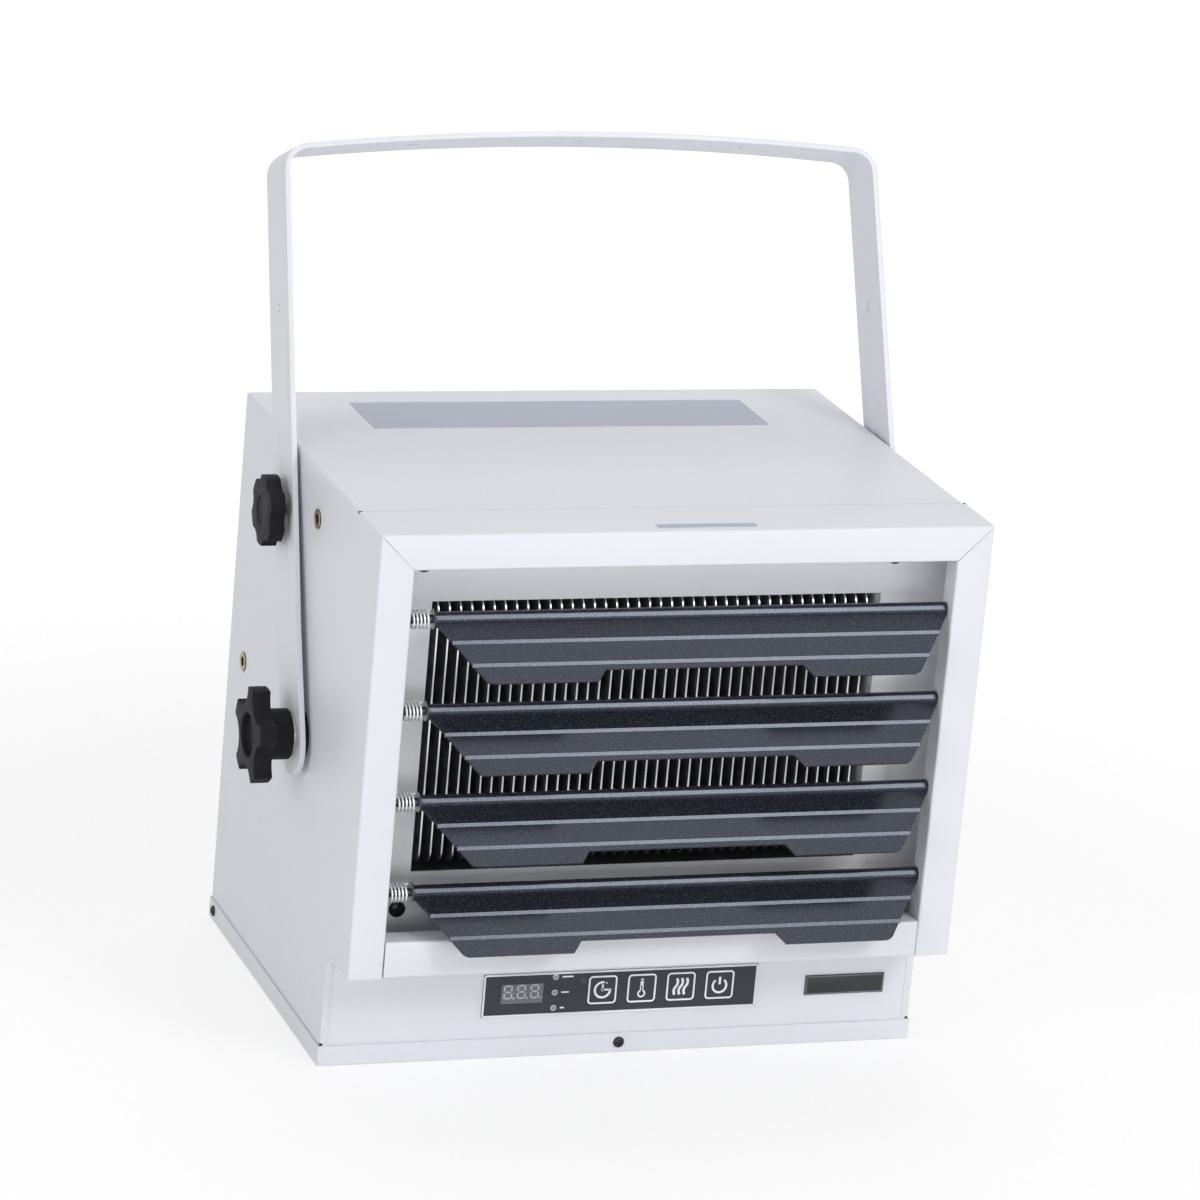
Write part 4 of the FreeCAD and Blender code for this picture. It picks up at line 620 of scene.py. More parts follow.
def turned(bm: BMesh, profile: Sequence[Spot], place: Matrix, steps: int = 32) -> None:
    """Adds a turned piece.

    Args:
        bm: The mesh.
        profile: Radius and rise of its outline, from the axis back to the axis or round to its start.
        place: Where it stands, its axis along z.
        steps: Faces round the axis.
    """
    part = bmesh.new()
    verts = [part.verts.new((radius, 0, rise)) for radius, rise in profile]
    edges = [part.edges.new(pair) for pair in zip(verts, verts[1:])]
    bmesh.ops.spin(part, geom=verts + edges, cent=(0, 0, 0), axis=(0, 0, 1), dvec=(0, 0, 0),
                   angle=2 * math.pi, steps=steps, use_merge=True)
    bmesh.ops.remove_doubles(part, verts=part.verts[:], dist=0.000001)
    bmesh.ops.recalc_face_normals(part, faces=part.faces[:])
    bmesh.ops.transform(part, matrix=place, verts=part.verts[:])
    join(bm, part)


class Workshop:
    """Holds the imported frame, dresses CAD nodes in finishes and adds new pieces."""

    def __init__(self, frame: dict) -> None:
        """Keeps the frame.
        """
        self.frame = frame
        bodies = frame["record"]["behaviour"]["bodies"]
        self.bodies = {node: body for body, nodes in bodies.items() for node in nodes}

    def dress(self, finish: Finish, *nodes: str) -> None:
        """Gives CAD nodes a finish.

        Args:
            finish: The finish.
            nodes: Names of the nodes.
        """
        for name in nodes:
            for slot in self.frame["nodes"][name].material_slots:
                slot.material = finish.make()
            log.info("dressed %s in %s", name, finish.name)

    def add(self, name: str, bm: BMesh, finish: Finish, body: str, stands_for: Sequence[str] = (),
            crease: float = 32.0) -> None:
        """Turns a bmesh into a piece of the object.

        Args:
            name: The piece's name.
            bm: Its mesh in the row frame, which is freed.
            finish: Its finish.
            body: The body that it rides on.
            stands_for: CAD nodes that it replaces.
            crease: Edges sharper than this many degrees stay sharp.
        """
        mesh = to_mesh(name, bm)
        mesh.shade_smooth()
        mesh.set_sharp_from_angle(angle=math.radians(crease))
        mesh.materials.append(finish.make())
        piece = put(name, mesh)
        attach(piece, body)
        if stands_for:
            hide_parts(*stands_for)
        log.info("added %s on %s, %d faces", name, body, len(mesh.polygons))

    def face(self, node: str) -> tuple[Spot, Spot, float]:
        """Returns a CAD node's middle in x and z, its width and height, and the y of its front."""
        low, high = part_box(node)
        return ((low.x + high.x) / 2, (low.z + high.z) / 2), (high.x - low.x, high.z - low.z), low.y

    def soften(self, node: str, finish: Finish, radius: float, segments: int = 2,
               sharp: float = 30.0) -> None:
        """Replaces a CAD node by a copy with rounded edges.

        Args:
            node: The node's name.
            finish: The copy's finish.
            radius: Width of the rounding, in metres.
            segments: Faces across the rounding.
            sharp: Edges sharper than this many degrees are rounded.
        """
        bm = bmesh.new()
        bm.from_mesh(self.frame["nodes"][node].data)
        bmesh.ops.remove_doubles(bm, verts=bm.verts[:], dist=0.000002)
        bmesh.ops.dissolve_limit(bm, angle_limit=math.radians(0.6), verts=bm.verts[:], edges=bm.edges[:])
        limit = math.radians(sharp)
        edges = [edge for edge in bm.edges if edge.is_manifold and edge.calc_face_angle(0.0) > limit]
        bevel(bm, edges, radius, segments, clamp=True)
        self.add(f"{node}_soft", bm, finish, self.bodies[node], [node])


class Print:
    """Ink shapes laid on a plane that faces the front, each a closed film of its own thickness."""

    thick = mm(0.06)

    def __init__(self, y: float) -> None:
        """Starts an empty print on the surface at y."""
        self.bm = bmesh.new()
        self.y = y - self.thick

    def at(self, middle: Spot, angle: float = 0.0) -> Matrix:
        """Returns the place of a flat shape that faces the front, turned by an angle from +x towards +z."""
        return Matrix.Translation((middle[0], self.y, middle[1])) @ turn(-angle, "Y") @ TO_FRONT

    def arc(self, middle: Spot, radius: float, width: float, start: float, end: float) -> None:
        """Adds a curved stroke.

        Args:
            middle: x and z of its centre.
            radius: Radius of its middle line.
            width: Width of the stroke.
            start: Angle where it starts, in degrees from +x towards +z.
            end: Angle where it ends.
        """
        x, z = middle
        way = math.radians(start)
        ends = [self.bm.verts.new((x + reach * math.cos(way), self.y, z + reach * math.sin(way)))
                for reach in (radius - width / 2, radius + width / 2)]
        edge = self.bm.edges.new(ends)
        steps = max(3, int(abs(end - start) / 9))
        bmesh.ops.spin(self.bm, geom=[*ends, edge], cent=(x, self.y, z), axis=(0, -1, 0), dvec=(0, 0, 0),
                       angle=math.radians(end - start), steps=steps, use_merge=False)

    def bar(self, middle: Spot, length: float, width: float, angle: float = 0.0) -> None:
        """Adds a straight stroke.

        Args:
            middle: x and z of its centre.
            length: Its length.
            width: Its width.
            angle: Its direction, in degrees from +x towards +z.
        """
        matrix = self.at(middle, angle) @ Matrix.Diagonal((length, width, 1.0, 1.0))
        bmesh.ops.create_grid(self.bm, x_segments=1, y_segments=1, size=0.5, matrix=matrix)

    def dot(self, middle: Spot, radius: float) -> None:
        """Adds a round spot."""
        bmesh.ops.create_circle(self.bm, cap_ends=True, segments=24, radius=radius, matrix=self.at(middle))

    def frame(self, middle: Spot, size: Spot, width: float, corner: float) -> None:
        """Adds a rounded rectangle's outline.

        Args:
            middle: x and z of its centre.
            size: Outer width and height.
            width: Width of the line.
            corner: Radius of the line's middle at the corners.
        """
        x, z = middle
        across, up = ((side - width) / 2 for side in size)
        for sign in (-1, 1):
            self.bar((x, z + sign * up), 2 * (across - corner), width)
            self.bar((x + sign * across, z), 2 * (up - corner), width, 90.0)
        for quarter, (right, high) in enumerate(((1, 1), (-1, 1), (-1, -1), (1, -1))):
            spot = (x + right * (across - corner), z + high * (up - corner))
            self.arc(spot, corner, width, 90.0 * quarter, 90.0 * quarter + 90.0)

    def done(self) -> BMesh:
        """Gives the shapes their thickness.

        Returns:
            The mesh.
        """
        bmesh.ops.remove_doubles(self.bm, verts=self.bm.verts[:], dist=0.0000005)
        thicken(self.bm, (0, self.thick, 0))
        return self.bm


@dataclass
class Casing:
    """White box: wrap, rear panel, control panel, tray and its corner seams."""

    shop: Workshop
    half: float = mm(184.0)
    front: float = mm(-121.0)
    tray_half: float = mm(185.2)
    tray_depth: float = mm(122.2)
    tray_height: float = mm(12.5)
    sheet: float = mm(1.0)
    fold: float = mm(1.0)
    seam: float = mm(0.35)
    flap_starts: Spot = (0.9, 0.4)
    floor_share: float = 0.95
    floor_low: float = mm(0.02)
    lip: float = mm(4.5)
    lip_top: float = mm(71.6)
    lip_proud: float = mm(0.45)
    lip_back: float = mm(0.3)
    lip_round: float = mm(0.2)
    relief: float = mm(1.6)
    relief_deep: float = mm(1.5)
    relief_clear: float = mm(0.1)
    skin: float = mm(0.05)
    thin_skin: float = mm(0.03)

    def build(self) -> None:
        """Dresses the sheets and adds the folded tray and the corner lips."""
        self.shop.dress(WHITE, "casing_wrap", "rear_panel", "control_panel")
        self.tray()
        self.corner_lips()

    def tray(self) -> None:
        """Folds the tray from a floor and four walls with open corner seams."""
        bm = bmesh.new()
        metal = Sheet(self.sheet, self.fold)
        half, depth, high, gap = self.tray_half, self.tray_depth, self.tray_height, self.seam
        side_start, end_start = half * self.flap_starts[0], depth * self.flap_starts[1]
        for sign in (-1, 1):
            wall = [(gap - half, sign * y, z) for y, z in ((end_start, 0), (depth, 0), (depth, high))]
            metal.strip(bm, wall, (2 * (half - gap), 0, 0), DOWN)
            wall = [(sign * x, gap - depth, z) for x, z in ((side_start, 0), (half, 0), (half, high))]
            metal.strip(bm, wall, (0, 2 * (depth - gap), 0), DOWN)
        across, along = half * self.floor_share, depth * self.floor_share
        slab(bm, (-across, -along, self.floor_low), (across, along, self.sheet))
        self.shop.add("folded_tray", bm, WHITE, "heater", ["base_tray"])

    def corner_lips(self) -> None:
        """Adds the narrow lips where the side sheets turn onto the front, and under each a near-black slab as
        painted shade for its relief cut.
        """
        lips, relief_shades = bmesh.new(), bmesh.new()
        foot = self.tray_height + self.relief
        twins(lips, (self.half - self.lip, self.front - self.lip_proud, foot),
              (self.half + self.skin, self.front + self.lip_back, self.lip_top), self.lip_round)
        twins(relief_shades, (self.half - self.relief, self.front - self.skin, self.tray_height + self.relief_clear),
              (self.half + self.thin_skin, self.front + self.relief_deep, foot - self.relief_clear))
        self.shop.add("corner_lips", lips, WHITE, "heater")
        self.shop.add("corner_reliefs", relief_shades, PAINTED_GAP_SHADE, "heater")


@dataclass
class Hood:
    """Frame in front of the casing: three mitred channels and the lower bar."""

    shop: Workshop
    half: float = mm(185.0)
    front: float = mm(-167.0)
    rear: float = mm(-121.5)
    top: float = mm(337.0)
    bottom: float = mm(71.8)
    border: float = mm(21.0)
    inner_return: float = mm(15.0)
    sheet: float = mm(1.0)
    fold: float = mm(1.5)
    mitre: float = mm(0.22)
    foot_inset: float = mm(1.2)
    foot_back: float = mm(0.6)
    foot_round: float = mm(0.2)
    bar_half: float = mm(163.6)
    bar_top: float = mm(93.7)
    bar_shelf: float = mm(17.0)
    bar_rear: float = mm(-122.0)
    bar_lip: float = mm(7.3)
    casing_half: float = mm(184.0)
    casing_front: float = mm(-121.0)
    recess_edge: float = mm(0.25)

    def build(self) -> None:
        """Builds the hood and the bar, and dresses what lies behind them."""
        self.channels()
        self.seam()
        self.bar()
        self.shop.soften("recess_panel", RECESS, self.recess_edge)
        self.shop.dress(DUCT, "air_duct")

    def channels(self) -> None:
        """Folds the top and side channels, mitres their front corners and closes the sides' lower ends."""
        bm = bmesh.new()
        metal = Sheet(self.sheet, self.fold)
        section = [(self.rear, 0.0), (self.front, 0.0), (self.front, self.border),
                   (self.front + self.inner_return, self.border)]
        chain = [(-self.half, y, self.top - inset) for y, inset in section]
        trims = [((side.value * (self.half - self.mitre), 0, self.top), (side.value, 0, -1)) for side in Side]
        metal.strip(bm, chain, (2 * self.half, 0, 0), UP, trims)
        for sign in (side.value for side in Side):
            chain = [(sign * (self.half - inset), y, self.bottom) for y, inset in section]
            trim = ((sign * self.half, 0, self.top - self.mitre), (-sign, 0, 1))
            metal.strip(bm, chain, (0, 0, self.top - self.bottom), (sign, 0, 0), [trim])
        twins(bm, (self.half - self.border + self.sheet, self.front + self.foot_inset, self.bottom),
              (self.half - self.foot_inset, self.rear - self.foot_back, self.bottom + self.sheet),
              self.foot_round)
        self.shop.add("mitred_hood", bm, WHITE, "heater", ["front_hood"])

    def seam(self) -> None:
        """Adds near-black slabs in the gap between the hood and the casing and in the relief cuts at its
        upper corners, as painted shade.
        """
        bm = bmesh.new()
        half, top, clear, skin = self.casing_half, self.top, mm(0.03), mm(0.04)
        front, back = self.rear + clear, self.casing_front - clear
        deep, sunk = mm(1.0), mm(0.3)
        slab(bm, (deep - half, front, top - deep), (half - deep, back, top - sunk))
        deep, sunk, short = mm(0.9), mm(0.09), mm(1.4)
        twins(bm, (half - deep, front, self.bottom), (half - sunk, back, top - short))
        wide, high, behind = mm(0.8), mm(1.3), mm(0.3)
        twins(bm, (half - wide, self.rear - deep, top - high),
              (self.half + skin, self.casing_front + behind, top + skin))
        self.shop.add("hood_seam", bm, PAINTED_GAP_SHADE, "heater")

    def bar(self) -> None:
        """Folds the lower bar with its shelf."""
        bm = bmesh.new()
        shelf = self.front + self.bar_shelf
        section = [(self.bar_rear, self.bottom), (self.front, self.bottom), (self.front, self.bar_top),
                   (shelf, self.bar_top), (shelf, self.bar_top - self.bar_lip)]
        chain = [(-self.bar_half, y, z) for y, z in section]
        Sheet(self.sheet, self.fold).strip(bm, chain, (2 * self.bar_half, 0, 0), DOWN)
        self.shop.add("folded_bar", bm, WHITE, "heater", ["lower_bar"])


@dataclass
class Outlet:
    """Element behind the louvres, and the fan behind that."""

    shop: Workshop

    def build(self) -> None:
        """Dresses the element and the fan."""
        shop = self.shop
        shop.dress(FIN, "fin_pack")
        shop.dress(TUBE_STEEL, "heating_tubes")
        shop.dress(ZINC_SHEET, "element_end_plates", "fan_shroud", "motor_bracket", "divider_shelf")
        shop.dress(MOTOR, "fan_motor")
        shop.dress(FAN, "fan_blade")
        shop.dress(BRIGHT_STEEL, "motor_shaft")
        shop.dress(RELAY, "thermal_cutout")


@dataclass
class Louvers:
    """Four cambered louvres, each with a bead that has a flat, two sloping ribs and a cut-out in its lip.

    Each is made with its pivot at the origin and its blade towards -y, then turned by its slope.
    """

    shop: Workshop
    count: int = 4
    slope: float = 43.0
    chord: float = mm(42.5)
    plate: float = mm(1.6)
    slant: float = mm(25.0)
    bead: float = mm(4.0)
    bore: float = mm(2.5)
    bead_round: float = mm(0.8)
    bead_steps: int = 90
    root: float = mm(2.4)
    camber: float = mm(1.0)
    flat_at: float = mm(3.82)
    rib_at: Sequence[float] = (mm(15.3), mm(29.8))
    rib_wide: float = mm(2.3)
    rib_fall: float = 18.5
    rib_round: float = mm(0.25)
    rib_sunk: float = mm(0.02)
    lip_wide: float = mm(130.0)
    lip_deep: float = mm(7.4)
    lip_slant: float = mm(5.5)
    corner: float = mm(3.2)
    edge: float = mm(0.3)
    rim_angle: float = 1.2
    crease: float = 4.5

    def build(self) -> None:
        """Builds each louvre at its own pivot and dresses its rod and spring."""
        joints = {joint["name"]: joint for joint in self.shop.frame["record"]["behaviour"]["joints"]}
        for index in range(1, self.count + 1):
            name = f"louver_{index}"
            low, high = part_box(name)
            pivot = Vector(joints[f"{name}_tilt"]["pos_m"])
            pivot.x = (low.x + high.x) / 2
            bm = bmesh.new()
            for add in (self.blade, self.ribs, self.tube):
                add(bm, (high.x - low.x) / 2)
            place = Matrix.Translation(pivot) @ turn(self.slope, "X")
            bmesh.ops.transform(bm, matrix=place, verts=bm.verts[:])
            self.shop.add(f"{name}_extrusion", bm, CHARCOAL, name, [name], self.crease)
            self.shop.dress(DARK_STEEL, f"louver_rod_{index}")
            self.shop.dress(SPRING_STEEL, f"louver_spring_{index}")

    def reach(self, half: float, along: float) -> float:
        """Returns how far the blade goes to each side at a distance from the pivot."""
        return half - self.slant * max(0.0, along - self.bead) / (self.chord - self.bead)

    def rise(self, along: float) -> float:
        """Returns how far the camber lifts the blade at a distance from the pivot."""
        peak = self.rib_at[0]
        return self.camber * min(along / peak, (self.chord - along) / (self.chord - peak))

    def blade(self, bm: BMesh, half: float) -> None:
        """Cuts the blade's outline, with round corners and the cut-out in its lip, and thickens it.

        Args:
            bm: The mesh.
            half: Half of the louvre's length.
        """
        part = bmesh.new()
        lip, shelf = self.lip_wide / 2, self.chord - self.lip_deep
        right = [(lip - self.lip_slant, shelf), (lip, self.chord), (self.reach(half, self.chord), self.chord),
                 (half, self.bead), (half, self.root)]
        outline = [(-x, along) for x, along in reversed(right)] + right
        verts = [part.verts.new((x, -along, self.plate / 2)) for x, along in outline]
        part.faces.new(verts)
        far = [vert for vert in verts if abs(vert.co.x) > lip and -vert.co.y > shelf]
        bevel(part, far, self.corner, 5, "VERTICES")
        thicken(part, (0, 0, -self.plate))
        bevel(part, [edge for edge in part.edges if edge.calc_face_angle(0.0) > self.rim_angle], self.edge, 2)
        everything = [*part.verts, *part.edges, *part.faces]
        bmesh.ops.bisect_plane(part, geom=everything, plane_co=(0, -self.rib_at[0], 0), plane_no=(0, 1, 0))
        for vert in part.verts:
            vert.co.z += self.rise(-vert.co.y)
        join(bm, part)

    def ribs(self, bm: BMesh, half: float) -> None:
        """Adds the two ribs, each with a crest that slopes down towards the lip.

        Args:
            bm: The mesh.
            half: Half of the louvre's length.
        """
        for start in self.rib_at:
            part = bmesh.new()
            wide = self.reach(half, start + self.rib_wide / 3)
            end = start + self.rib_wide
            foot = self.plate / 2 + self.rise(end) - self.rib_sunk
            crest = foot + self.rib_wide * math.tan(math.radians(self.rib_fall))
            section = ((start, 0.0), (start, crest), (end, foot), (end, 0.0))
            part.faces.new([part.verts.new((-wide, -along, top)) for along, top in section])
            thicken(part, (2 * wide, 0, 0))
            ridge = [edge for edge in part.edges if all(vert.co.z > crest - mm(0.01) for vert in edge.verts)]
            bevel(part, ridge, self.rib_round, 4)
            join(bm, part)

    def tube(self, bm: BMesh, half: float) -> None:
        """Adds the bead with its bore for the rod, and planes a flat on it that slopes like the ribs.

        Args:
            bm: The mesh.
            half: Half of the louvre's length.
        """
        cut = self.bead_round
        lower = [(self.bore, -half), (self.bead - cut, -half), (self.bead - 0.3 * cut, 0.3 * cut - half),
                 (self.bead, cut - half)]
        upper = [(radius, -rise) for radius, rise in reversed(lower)]
        part = bmesh.new()
        turned(part, [*lower, *upper, lower[0]], TO_RIGHT, self.bead_steps)
        fall = math.radians(self.rib_fall)
        facing = Vector((0, -math.sin(fall), math.cos(fall)))
        for vert in part.verts:
            vert.co -= max(0.0, vert.co.dot(facing) - self.flat_at) * facing
        join(bm, part)


@dataclass
class Yoke:
    """Strap yoke with its knobs, washers, spacers and rivet nuts."""

    shop: Workshop
    strap_round: float = mm(0.7)
    knob_round: float = mm(0.8)
    nut_round: float = mm(0.25)

    def build(self) -> None:
        """Rounds the strap and the knobs and dresses the rest."""
        shop = self.shop
        shop.soften("yoke", WHITE, self.strap_round, 3)
        for side in Side:
            name = side.name.lower()
            shop.soften(f"pivot_knob_{name}", KNOB, self.knob_round, 3)
            shop.soften(f"lock_knob_{name}", KNOB, self.knob_round, 3)
            shop.dress(BRIGHT_STEEL, f"pivot_washer_{name}", f"lock_washer_{name}")
        shop.dress(KNOB, "yoke_spacers")
        shop.soften("rivet_nuts", ZINC, self.nut_round)


# Strokes of each key's sign: shape, place from the key's middle, sizes in millimetres, angles in degrees
SIGNS = {
    KeyMark.TIMER: (
        (Print.arc, (0.0, 0.0), (4.8, 1.365), (80.0, 360.0)),
        (Print.bar, (0.0, 1.5), (4.0, 1.05), (90.0,)),
        (Print.bar, (2.4, 0.0), (5.85, 1.05), ()),
        (Print.dot, (0.0, 0.0), (0.945,), ()),
        (Print.dot, (2.253463, 4.238148), (0.525,), ())),
    KeyMark.TEMPERATURE: (
        (Print.arc, (0.0, -3.4), (2.0, 0.945), (112.0, 428.0)),
        (Print.bar, (-0.75, 0.2), (3.6, 0.63), (90.0,)),
        (Print.bar, (0.75, 0.2), (3.6, 0.63), (90.0,)),
        (Print.bar, (0.0, 3.4), (3.6, 1.95), (90.0,)),
        (Print.dot, (0.0, 5.2), (0.975,), ())),
    KeyMark.MODE: tuple(
        (Print.arc, (step + sign * 3.121208, -sign * 2.810349), (4.2, 1.575), (start - 42.0, start + 33.6))
        for step in (-3.1, 0.0, 3.1) for sign, start in ((-1, 0.0), (1, 180.0))),
    KeyMark.POWER: (
        (Print.arc, (0.0, -0.6), (4.3, 1.365), (128.0, 412.0)),
        (Print.bar, (0.0, 2.6), (4.8, 1.47), (90.0,)))}


@dataclass
class Controls:
    """Overlay with its display, lamps and keys, and the boards behind."""

    shop: Workshop
    border: float = mm(1.1)
    border_corner: float = mm(0.7)
    key_frame: Spot = (mm(17.8), mm(17.8))
    key_corner: float = mm(1.9)
    stroke: float = mm(1.05)
    digit: Spot = (mm(5.4), mm(8.8))
    digit_pitch: float = mm(8.2)
    digit_shift: Spot = (mm(-0.65), mm(1.3))
    digit_line: float = mm(1.0)
    point_gap: float = mm(0.9)
    lamp_radius: float = mm(1.8)
    lamp_rim: float = mm(0.45)
    lamp_proud: float = mm(0.4)
    level_gap: float = mm(4.0)
    level_wide: float = mm(0.9)
    levels: Sequence[float] = (mm(7.0), mm(4.8), mm(2.6))
    gland_round: float = mm(0.4)

    def build(self) -> None:
        """Dresses the nodes, then prints the border, digits, bars and key marks."""
        shop = self.shop
        shop.dress(FILM, "overlay_panel")
        shop.dress(DISPLAY, "display_module")
        shop.dress(WINDOW, "receiver_window")
        shop.dress(BOARD, "control_board", "power_board")
        shop.dress(RELAY, "key_switches", "relays")
        shop.dress(TERMINAL, "terminal_block")
        shop.soften("cable_gland", KNOB, self.gland_round)
        self.print_border()
        self.print_digits()
        self.lamps()
        for key in KeyMark:
            self.key(key)

    def key(self, key: KeyMark) -> None:
        """Dresses a key and prints its frame and sign.

        Args:
            key: The key.
        """
        name = f"key_{key.value}"
        middle, _, front = self.shop.face(name)
        ink = Print(front)
        ink.frame(middle, self.key_frame, self.stroke, self.key_corner)
        for draw, place, sizes, angles in SIGNS[key]:
            spot = (middle[0] + mm(place[0]), middle[1] + mm(place[1]))
            draw(ink, spot, *(mm(size) for size in sizes), *angles)
        self.shop.dress(KEY_FILM, name)
        self.shop.add(f"{name}_mark", ink.done(), INK, name)

    def print_border(self) -> None:
        """Prints the pale border round the overlay."""
        middle, size, front = self.shop.face("overlay_panel")
        ink = Print(front)
        ink.frame(middle, size, self.border, self.border_corner)
        self.shop.add("overlay_border", ink.done(), BORDER, "heater")

    def print_digits(self) -> None:
        """Prints the three unlit digits of the display, each with its point."""
        middle, _, front = self.shop.face("display_module")
        ink = Print(front)
        wide, tall = self.digit
        line = self.digit_line
        z = middle[1] + self.digit_shift[1]
        for step in (-1, 0, 1):
            x = middle[0] + self.digit_shift[0] + step * self.digit_pitch
            for level in (-1, 0, 1):
                ink.bar((x, z + level * (tall - line) / 2), wide - 2.3 * line, line)
            for side in (-1, 1):
                for level in (-1, 1):
                    spot = (x + side * (wide - line) / 2, z + level * tall / 4)
                    ink.bar(spot, tall / 2 - 1.3 * line, line, 90.0)
            ink.dot((x + wide / 2 + self.point_gap, z - (tall - line) / 2), line * 0.6)
        self.shop.add("display_digits", ink.done(), SEGMENT, "heater")

    def lamps(self) -> None:
        """Turns the three lamps, each a domed lens in a pale rim, and prints plain level bars beside them."""
        middle, size, front = self.shop.face("indicator_lamps")
        proud, seat = self.lamp_proud, front + self.lamp_proud
        ink = Print(seat)
        lenses, rims = bmesh.new(), bmesh.new()
        inner = self.lamp_radius - self.lamp_rim
        dome = [(0.0, 0.7), (0.5, 0.62), (0.85, 0.4), (1.0, 0.15), (1.0, -1.0), (0.0, -1.0)]
        ring = [(0.0, -1.0), (0.0, 0.6), (0.35, 1.0), (0.75, 0.85), (1.0, 0.3), (1.0, -1.0), (0.0, -1.0)]
        pitch = size[1] / 2 - self.lamp_radius
        for row, length in zip((1, 0, -1), self.levels):
            x, z = middle[0], middle[1] + row * pitch
            place = Matrix.Translation((x, seat, z)) @ TO_FRONT
            turned(lenses, [(reach * inner, rise * proud) for reach, rise in dome], place)
            turned(rims, [(inner + reach * self.lamp_rim, rise * proud) for reach, rise in ring], place)
            ink.bar((x + self.level_gap + length / 2, z), length, self.level_wide)
        self.shop.add("lamp_lenses", lenses, LAMP, "heater", ["indicator_lamps"])
        self.shop.add("lamp_rims", rims, LAMP_RIM, "heater")
        self.shop.add("level_bars", ink.done(), INK, "heater")


@dataclass
class Plates:
    """Bare plates on the front and the top."""

    shop: Workshop
    inset: float = mm(0.8)
    line: float = mm(0.7)
    edge: float = mm(0.25)

    def build(self) -> None:
        """Rounds the badge plate, prints its border and dresses the label plates."""
        middle, size, front = self.shop.face("badge_plate")
        self.shop.soften("badge_plate", BADGE, self.edge)
        self.shop.dress(FOIL, "label_plates")
        ink = Print(front)
        ink.frame(middle, tuple(side - self.inset for side in size), self.line, self.inset)
        self.shop.add("badge_border", ink.done(), DISPLAY, "heater")


@dataclass
class Screws:
    """Black cross-head screws of the casing and the recess."""

    shop: Workshop
    head: Spot = (mm(3.4), mm(1.7))
    recess_head: Spot = (mm(5.0), mm(2.2))
    wall: float = mm(185.2)
    end: float = mm(122.2)
    tray_up: float = mm(6.6)
    side_back: float = mm(112.0)
    rear: float = mm(121.0)
    rear_across: float = mm(177.0)
    rear_up: Sequence[float] = (mm(42.0), mm(183.5), mm(325.0))
    recess_front: float = mm(-122.0)
    recess_across: float = mm(144.0)
    recess_up: Sequence[float] = (mm(96.4), mm(305.8))
    twist: float = 0.7
    arm: float = 0.62
    slot: float = 0.16
    crease: float = 40.0

    def build(self) -> None:
        """Sets a pan head with a cross recess on every screw."""
        place = Matrix.Translation
        tray = [place((0, -self.end, self.tray_up)) @ TO_FRONT, place((0, self.end, self.tray_up)) @ TO_REAR]
        recess = []
        for sign in (side.value for side in Side):
            tray.append(place((sign * self.wall, self.side_back, self.tray_up)) @ turn(90 * sign, "Y"))
            tray += [place((sign * self.rear_across, self.rear, up)) @ TO_REAR for up in self.rear_up]
            recess += [place((sign * self.recess_across, self.recess_front, up)) @ TO_FRONT
                       for up in self.recess_up]
        self.heads("casing_screw_heads", tray, self.head, "casing_screws")
        self.heads("recess_screw_heads", recess, self.recess_head, "recess_screws")

    def heads(self, name: str, spots: Sequence[Matrix], size: Spot, node: str) -> None:
        """Adds one screw head at each place.

        Args:
            name: The piece's name.
            spots: Where each head stands, its z axis outwards.
            size: Radius and height of the head.
            node: The CAD node that the heads replace.
        """
        head = self.cross_head(*size)
        bm = bmesh.new()
        for index, spot in enumerate(spots):
            copy = head.copy()
            copy.transform(spot @ Matrix.Rotation(self.twist * index, 4, "Z"))
            bm.from_mesh(copy)
            bpy.data.meshes.remove(copy)
        bpy.data.meshes.remove(head)
        self.shop.add(name, bm, SCREW, "heater", [node], self.crease)

    def cross_head(self, radius: float, high: float) -> bpy.types.Mesh:
        """Turns a pan head and cuts a cross into it.

        Args:
            radius: Radius of the head.
            high: Height of the head.

        Returns:
            The head's mesh, standing on z = 0.
        """
        body, cutter = bmesh.new(), bmesh.new()
        dome = [(0.0, 1.0), (0.5, 0.96), (0.85, 0.72), (1.0, 0.3), (1.0, 0.0), (0.0, 0.0)]
        turned(body, [(radius * x, high * z) for x, z in dome], Matrix.Identity(4), 28)
        arm, slot = radius * self.arm, radius * self.slot
        slab(cutter, (-arm, -slot, high * 0.45), (arm, slot, high * 1.5))
        slab(cutter, (-slot, -arm * 0.98, high * 0.44), (slot, arm * 0.98, high * 1.6))
        blank, tool = (put("screw_blank", to_mesh("screw_blank", bm)) for bm in (body, cutter))
        cut = blank.modifiers.new("cross", "BOOLEAN")
        cut.operation = "DIFFERENCE"
        cut.use_self = True
        cut.object = tool
        result = bpy.data.meshes.new_from_object(blank.evaluated_get(bpy.context.evaluated_depsgraph_get()))
        for used in (blank.data, tool.data):
            bpy.data.meshes.remove(used)
        return result


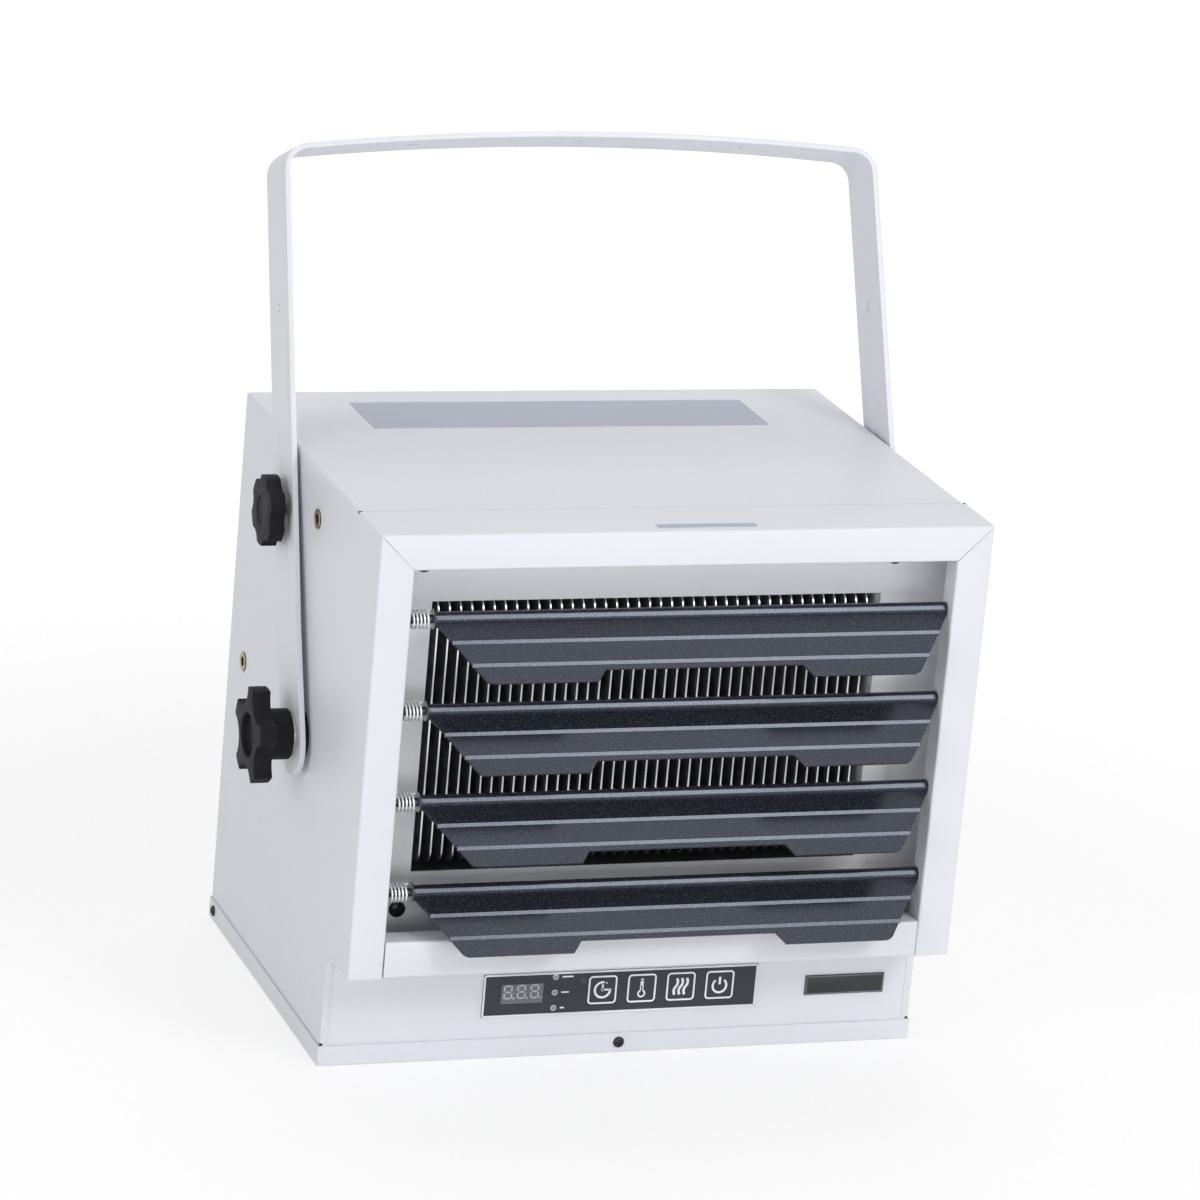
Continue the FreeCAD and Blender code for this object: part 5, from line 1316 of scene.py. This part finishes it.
@dataclass
class Studio:
    """Pale floor, soft lamps, white surroundings and the photograph's camera.

    Attributes:
        glow_near: Distance from the heater and strength, where the floor's glow starts to grow.
        glow_far: Distance and strength where it is full.
        glow_share: Share of the glow in what is seen of the floor.
        surround: Strength of the surroundings as a light.
        aim: The point that the lamps look at.
        lamps: Name, place, size and power in watts of each lamp.
    """

    eye: Point = (-1.0915, -2.9832, 1.2365)
    azimuth: float = 20.24
    elevation: float = 17.38
    roll: float = 5.16
    lens: float = 167.0
    sensor: float = 36.0
    far: float = 100.0
    floor_size: float = 30.0
    floor_at: float = mm(-0.2)
    floor_colour: Colour = (0.86, 0.86, 0.87)
    floor_drift: float = 1.01
    floor_rough: float = 0.9
    glow_near: Spot = (0.45, 1.13)
    glow_far: Spot = (1.3, 1.42)
    glow_share: float = 0.6
    surround: float = 0.46
    aim: Point = (0, 0, 0.22)
    lamps: Sequence[tuple[str, Point, Spot, float]] = field(default_factory=lambda: (
        ("key", (0.3, -3.2, 0.48), (2.4, 0.85), 21.5),
        ("crown", (0.9, -1.95, 1.6), (0.8, 0.6), 15.0),
        ("sheet", (0.76, -1.14, 2.19), (0.9, 0.9), 2.2),
        ("fill", (-2.6, -1.4, 1.2), (1.6, 1.6), 21.0),
        ("top", (0.2, 0.9, 2.6), (1.4, 1.4), 13.0)))

    def build(self) -> None:
        """Sets the view transform, the camera, the floor, the lamps and the world."""
        bpy.context.scene.view_settings.view_transform = "Standard"
        self.camera()
        self.floor()
        for name, place, size, power in self.lamps:
            self.lamp(name, Vector(place), size, power)
        self.world()

    def camera(self) -> None:
        """Sets the camera where the photograph was taken from."""
        data = bpy.data.cameras.new("camera")
        data.lens = self.lens
        data.sensor_width = self.sensor
        data.clip_end = self.far
        camera = put("camera", data)
        look = turn(-self.azimuth, "Z") @ turn(90.0 - self.elevation, "X") @ turn(self.roll, "Z")
        camera.matrix_world = Matrix.Translation(Vector(self.eye)) @ look
        bpy.context.scene.camera = camera

    def floor(self) -> None:
        """Lays a wide floor that shows nearly white and keeps the heater's shadow."""
        bm = bmesh.new()
        place = Matrix.Translation((0, 0, self.floor_at))
        bmesh.ops.create_grid(bm, x_segments=1, y_segments=1, size=self.floor_size, matrix=place)
        floor = put("floor", to_mesh("floor", bm))
        graph = Graph(bpy.data.materials.new("floor"))
        pale = tuple(part * self.floor_drift for part in self.floor_colour)
        tone = graph.ramp(graph.noise(Noise(2.0)), [(0.3, self.floor_colour), (0.7, pale)])
        graph.coat({"Base Color": tone, "Roughness": self.floor_rough})
        away = graph.add("VectorMath", {"operation": "LENGTH", 0: graph.coords("Object")})
        (close, dim), (distant, full) = self.glow_near, self.glow_far
        level = graph.add("MapRange", {"Value": away.outputs["Value"], "From Min": close, "From Max": distant,
                                       "To Min": dim, "To Max": full})
        glow = graph.add("Emission", {"Color": PURE_WHITE, "Strength": level.outputs["Result"]})
        mix = graph.add("MixShader", {0: graph.spread(graph.seen(), 0.0, self.glow_share),
                                      1: graph.shader.outputs["BSDF"], 2: glow.outputs["Emission"]})
        graph.fill(graph.tree.nodes["Material Output"], {"Surface": mix.outputs["Shader"]})
        floor.data.materials.append(graph.owner)

    def lamp(self, name: str, place: Vector, size: Spot, power: float) -> None:
        """Hangs a soft lamp that looks at the heater.

        Args:
            name: The lamp's name.
            place: Where it hangs.
            size: Its width and height.
            power: Its power in watts.
        """
        data = bpy.data.lights.new(name, "AREA")
        data.shape = "RECTANGLE"
        data.size, data.size_y = size
        data.energy = power
        look = (Vector(self.aim) - place).to_track_quat("-Z", "Y").to_matrix().to_4x4()
        put(name, data).matrix_world = Matrix.Translation(place) @ look

    def world(self) -> None:
        """Makes the surroundings white where they are seen and softer where they light the heater."""
        graph = Graph(bpy.data.worlds.new("studio"))
        strength = graph.spread(graph.seen(), self.surround, 1.0)
        graph.fill(graph.tree.nodes["Background"], {"Color": PURE_WHITE, "Strength": strength})
        bpy.context.scene.world = graph.owner


def main() -> None:
    """Builds the studio and every sub-assembly."""
    logging.basicConfig(level=logging.INFO, format="%(message)s")
    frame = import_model()
    shop = Workshop(frame)
    Studio().build()
    for assembly in (Casing, Hood, Outlet, Louvers, Yoke, Controls, Plates, Screws):
        assembly(shop).build()


if __name__ == "__main__":
    main()
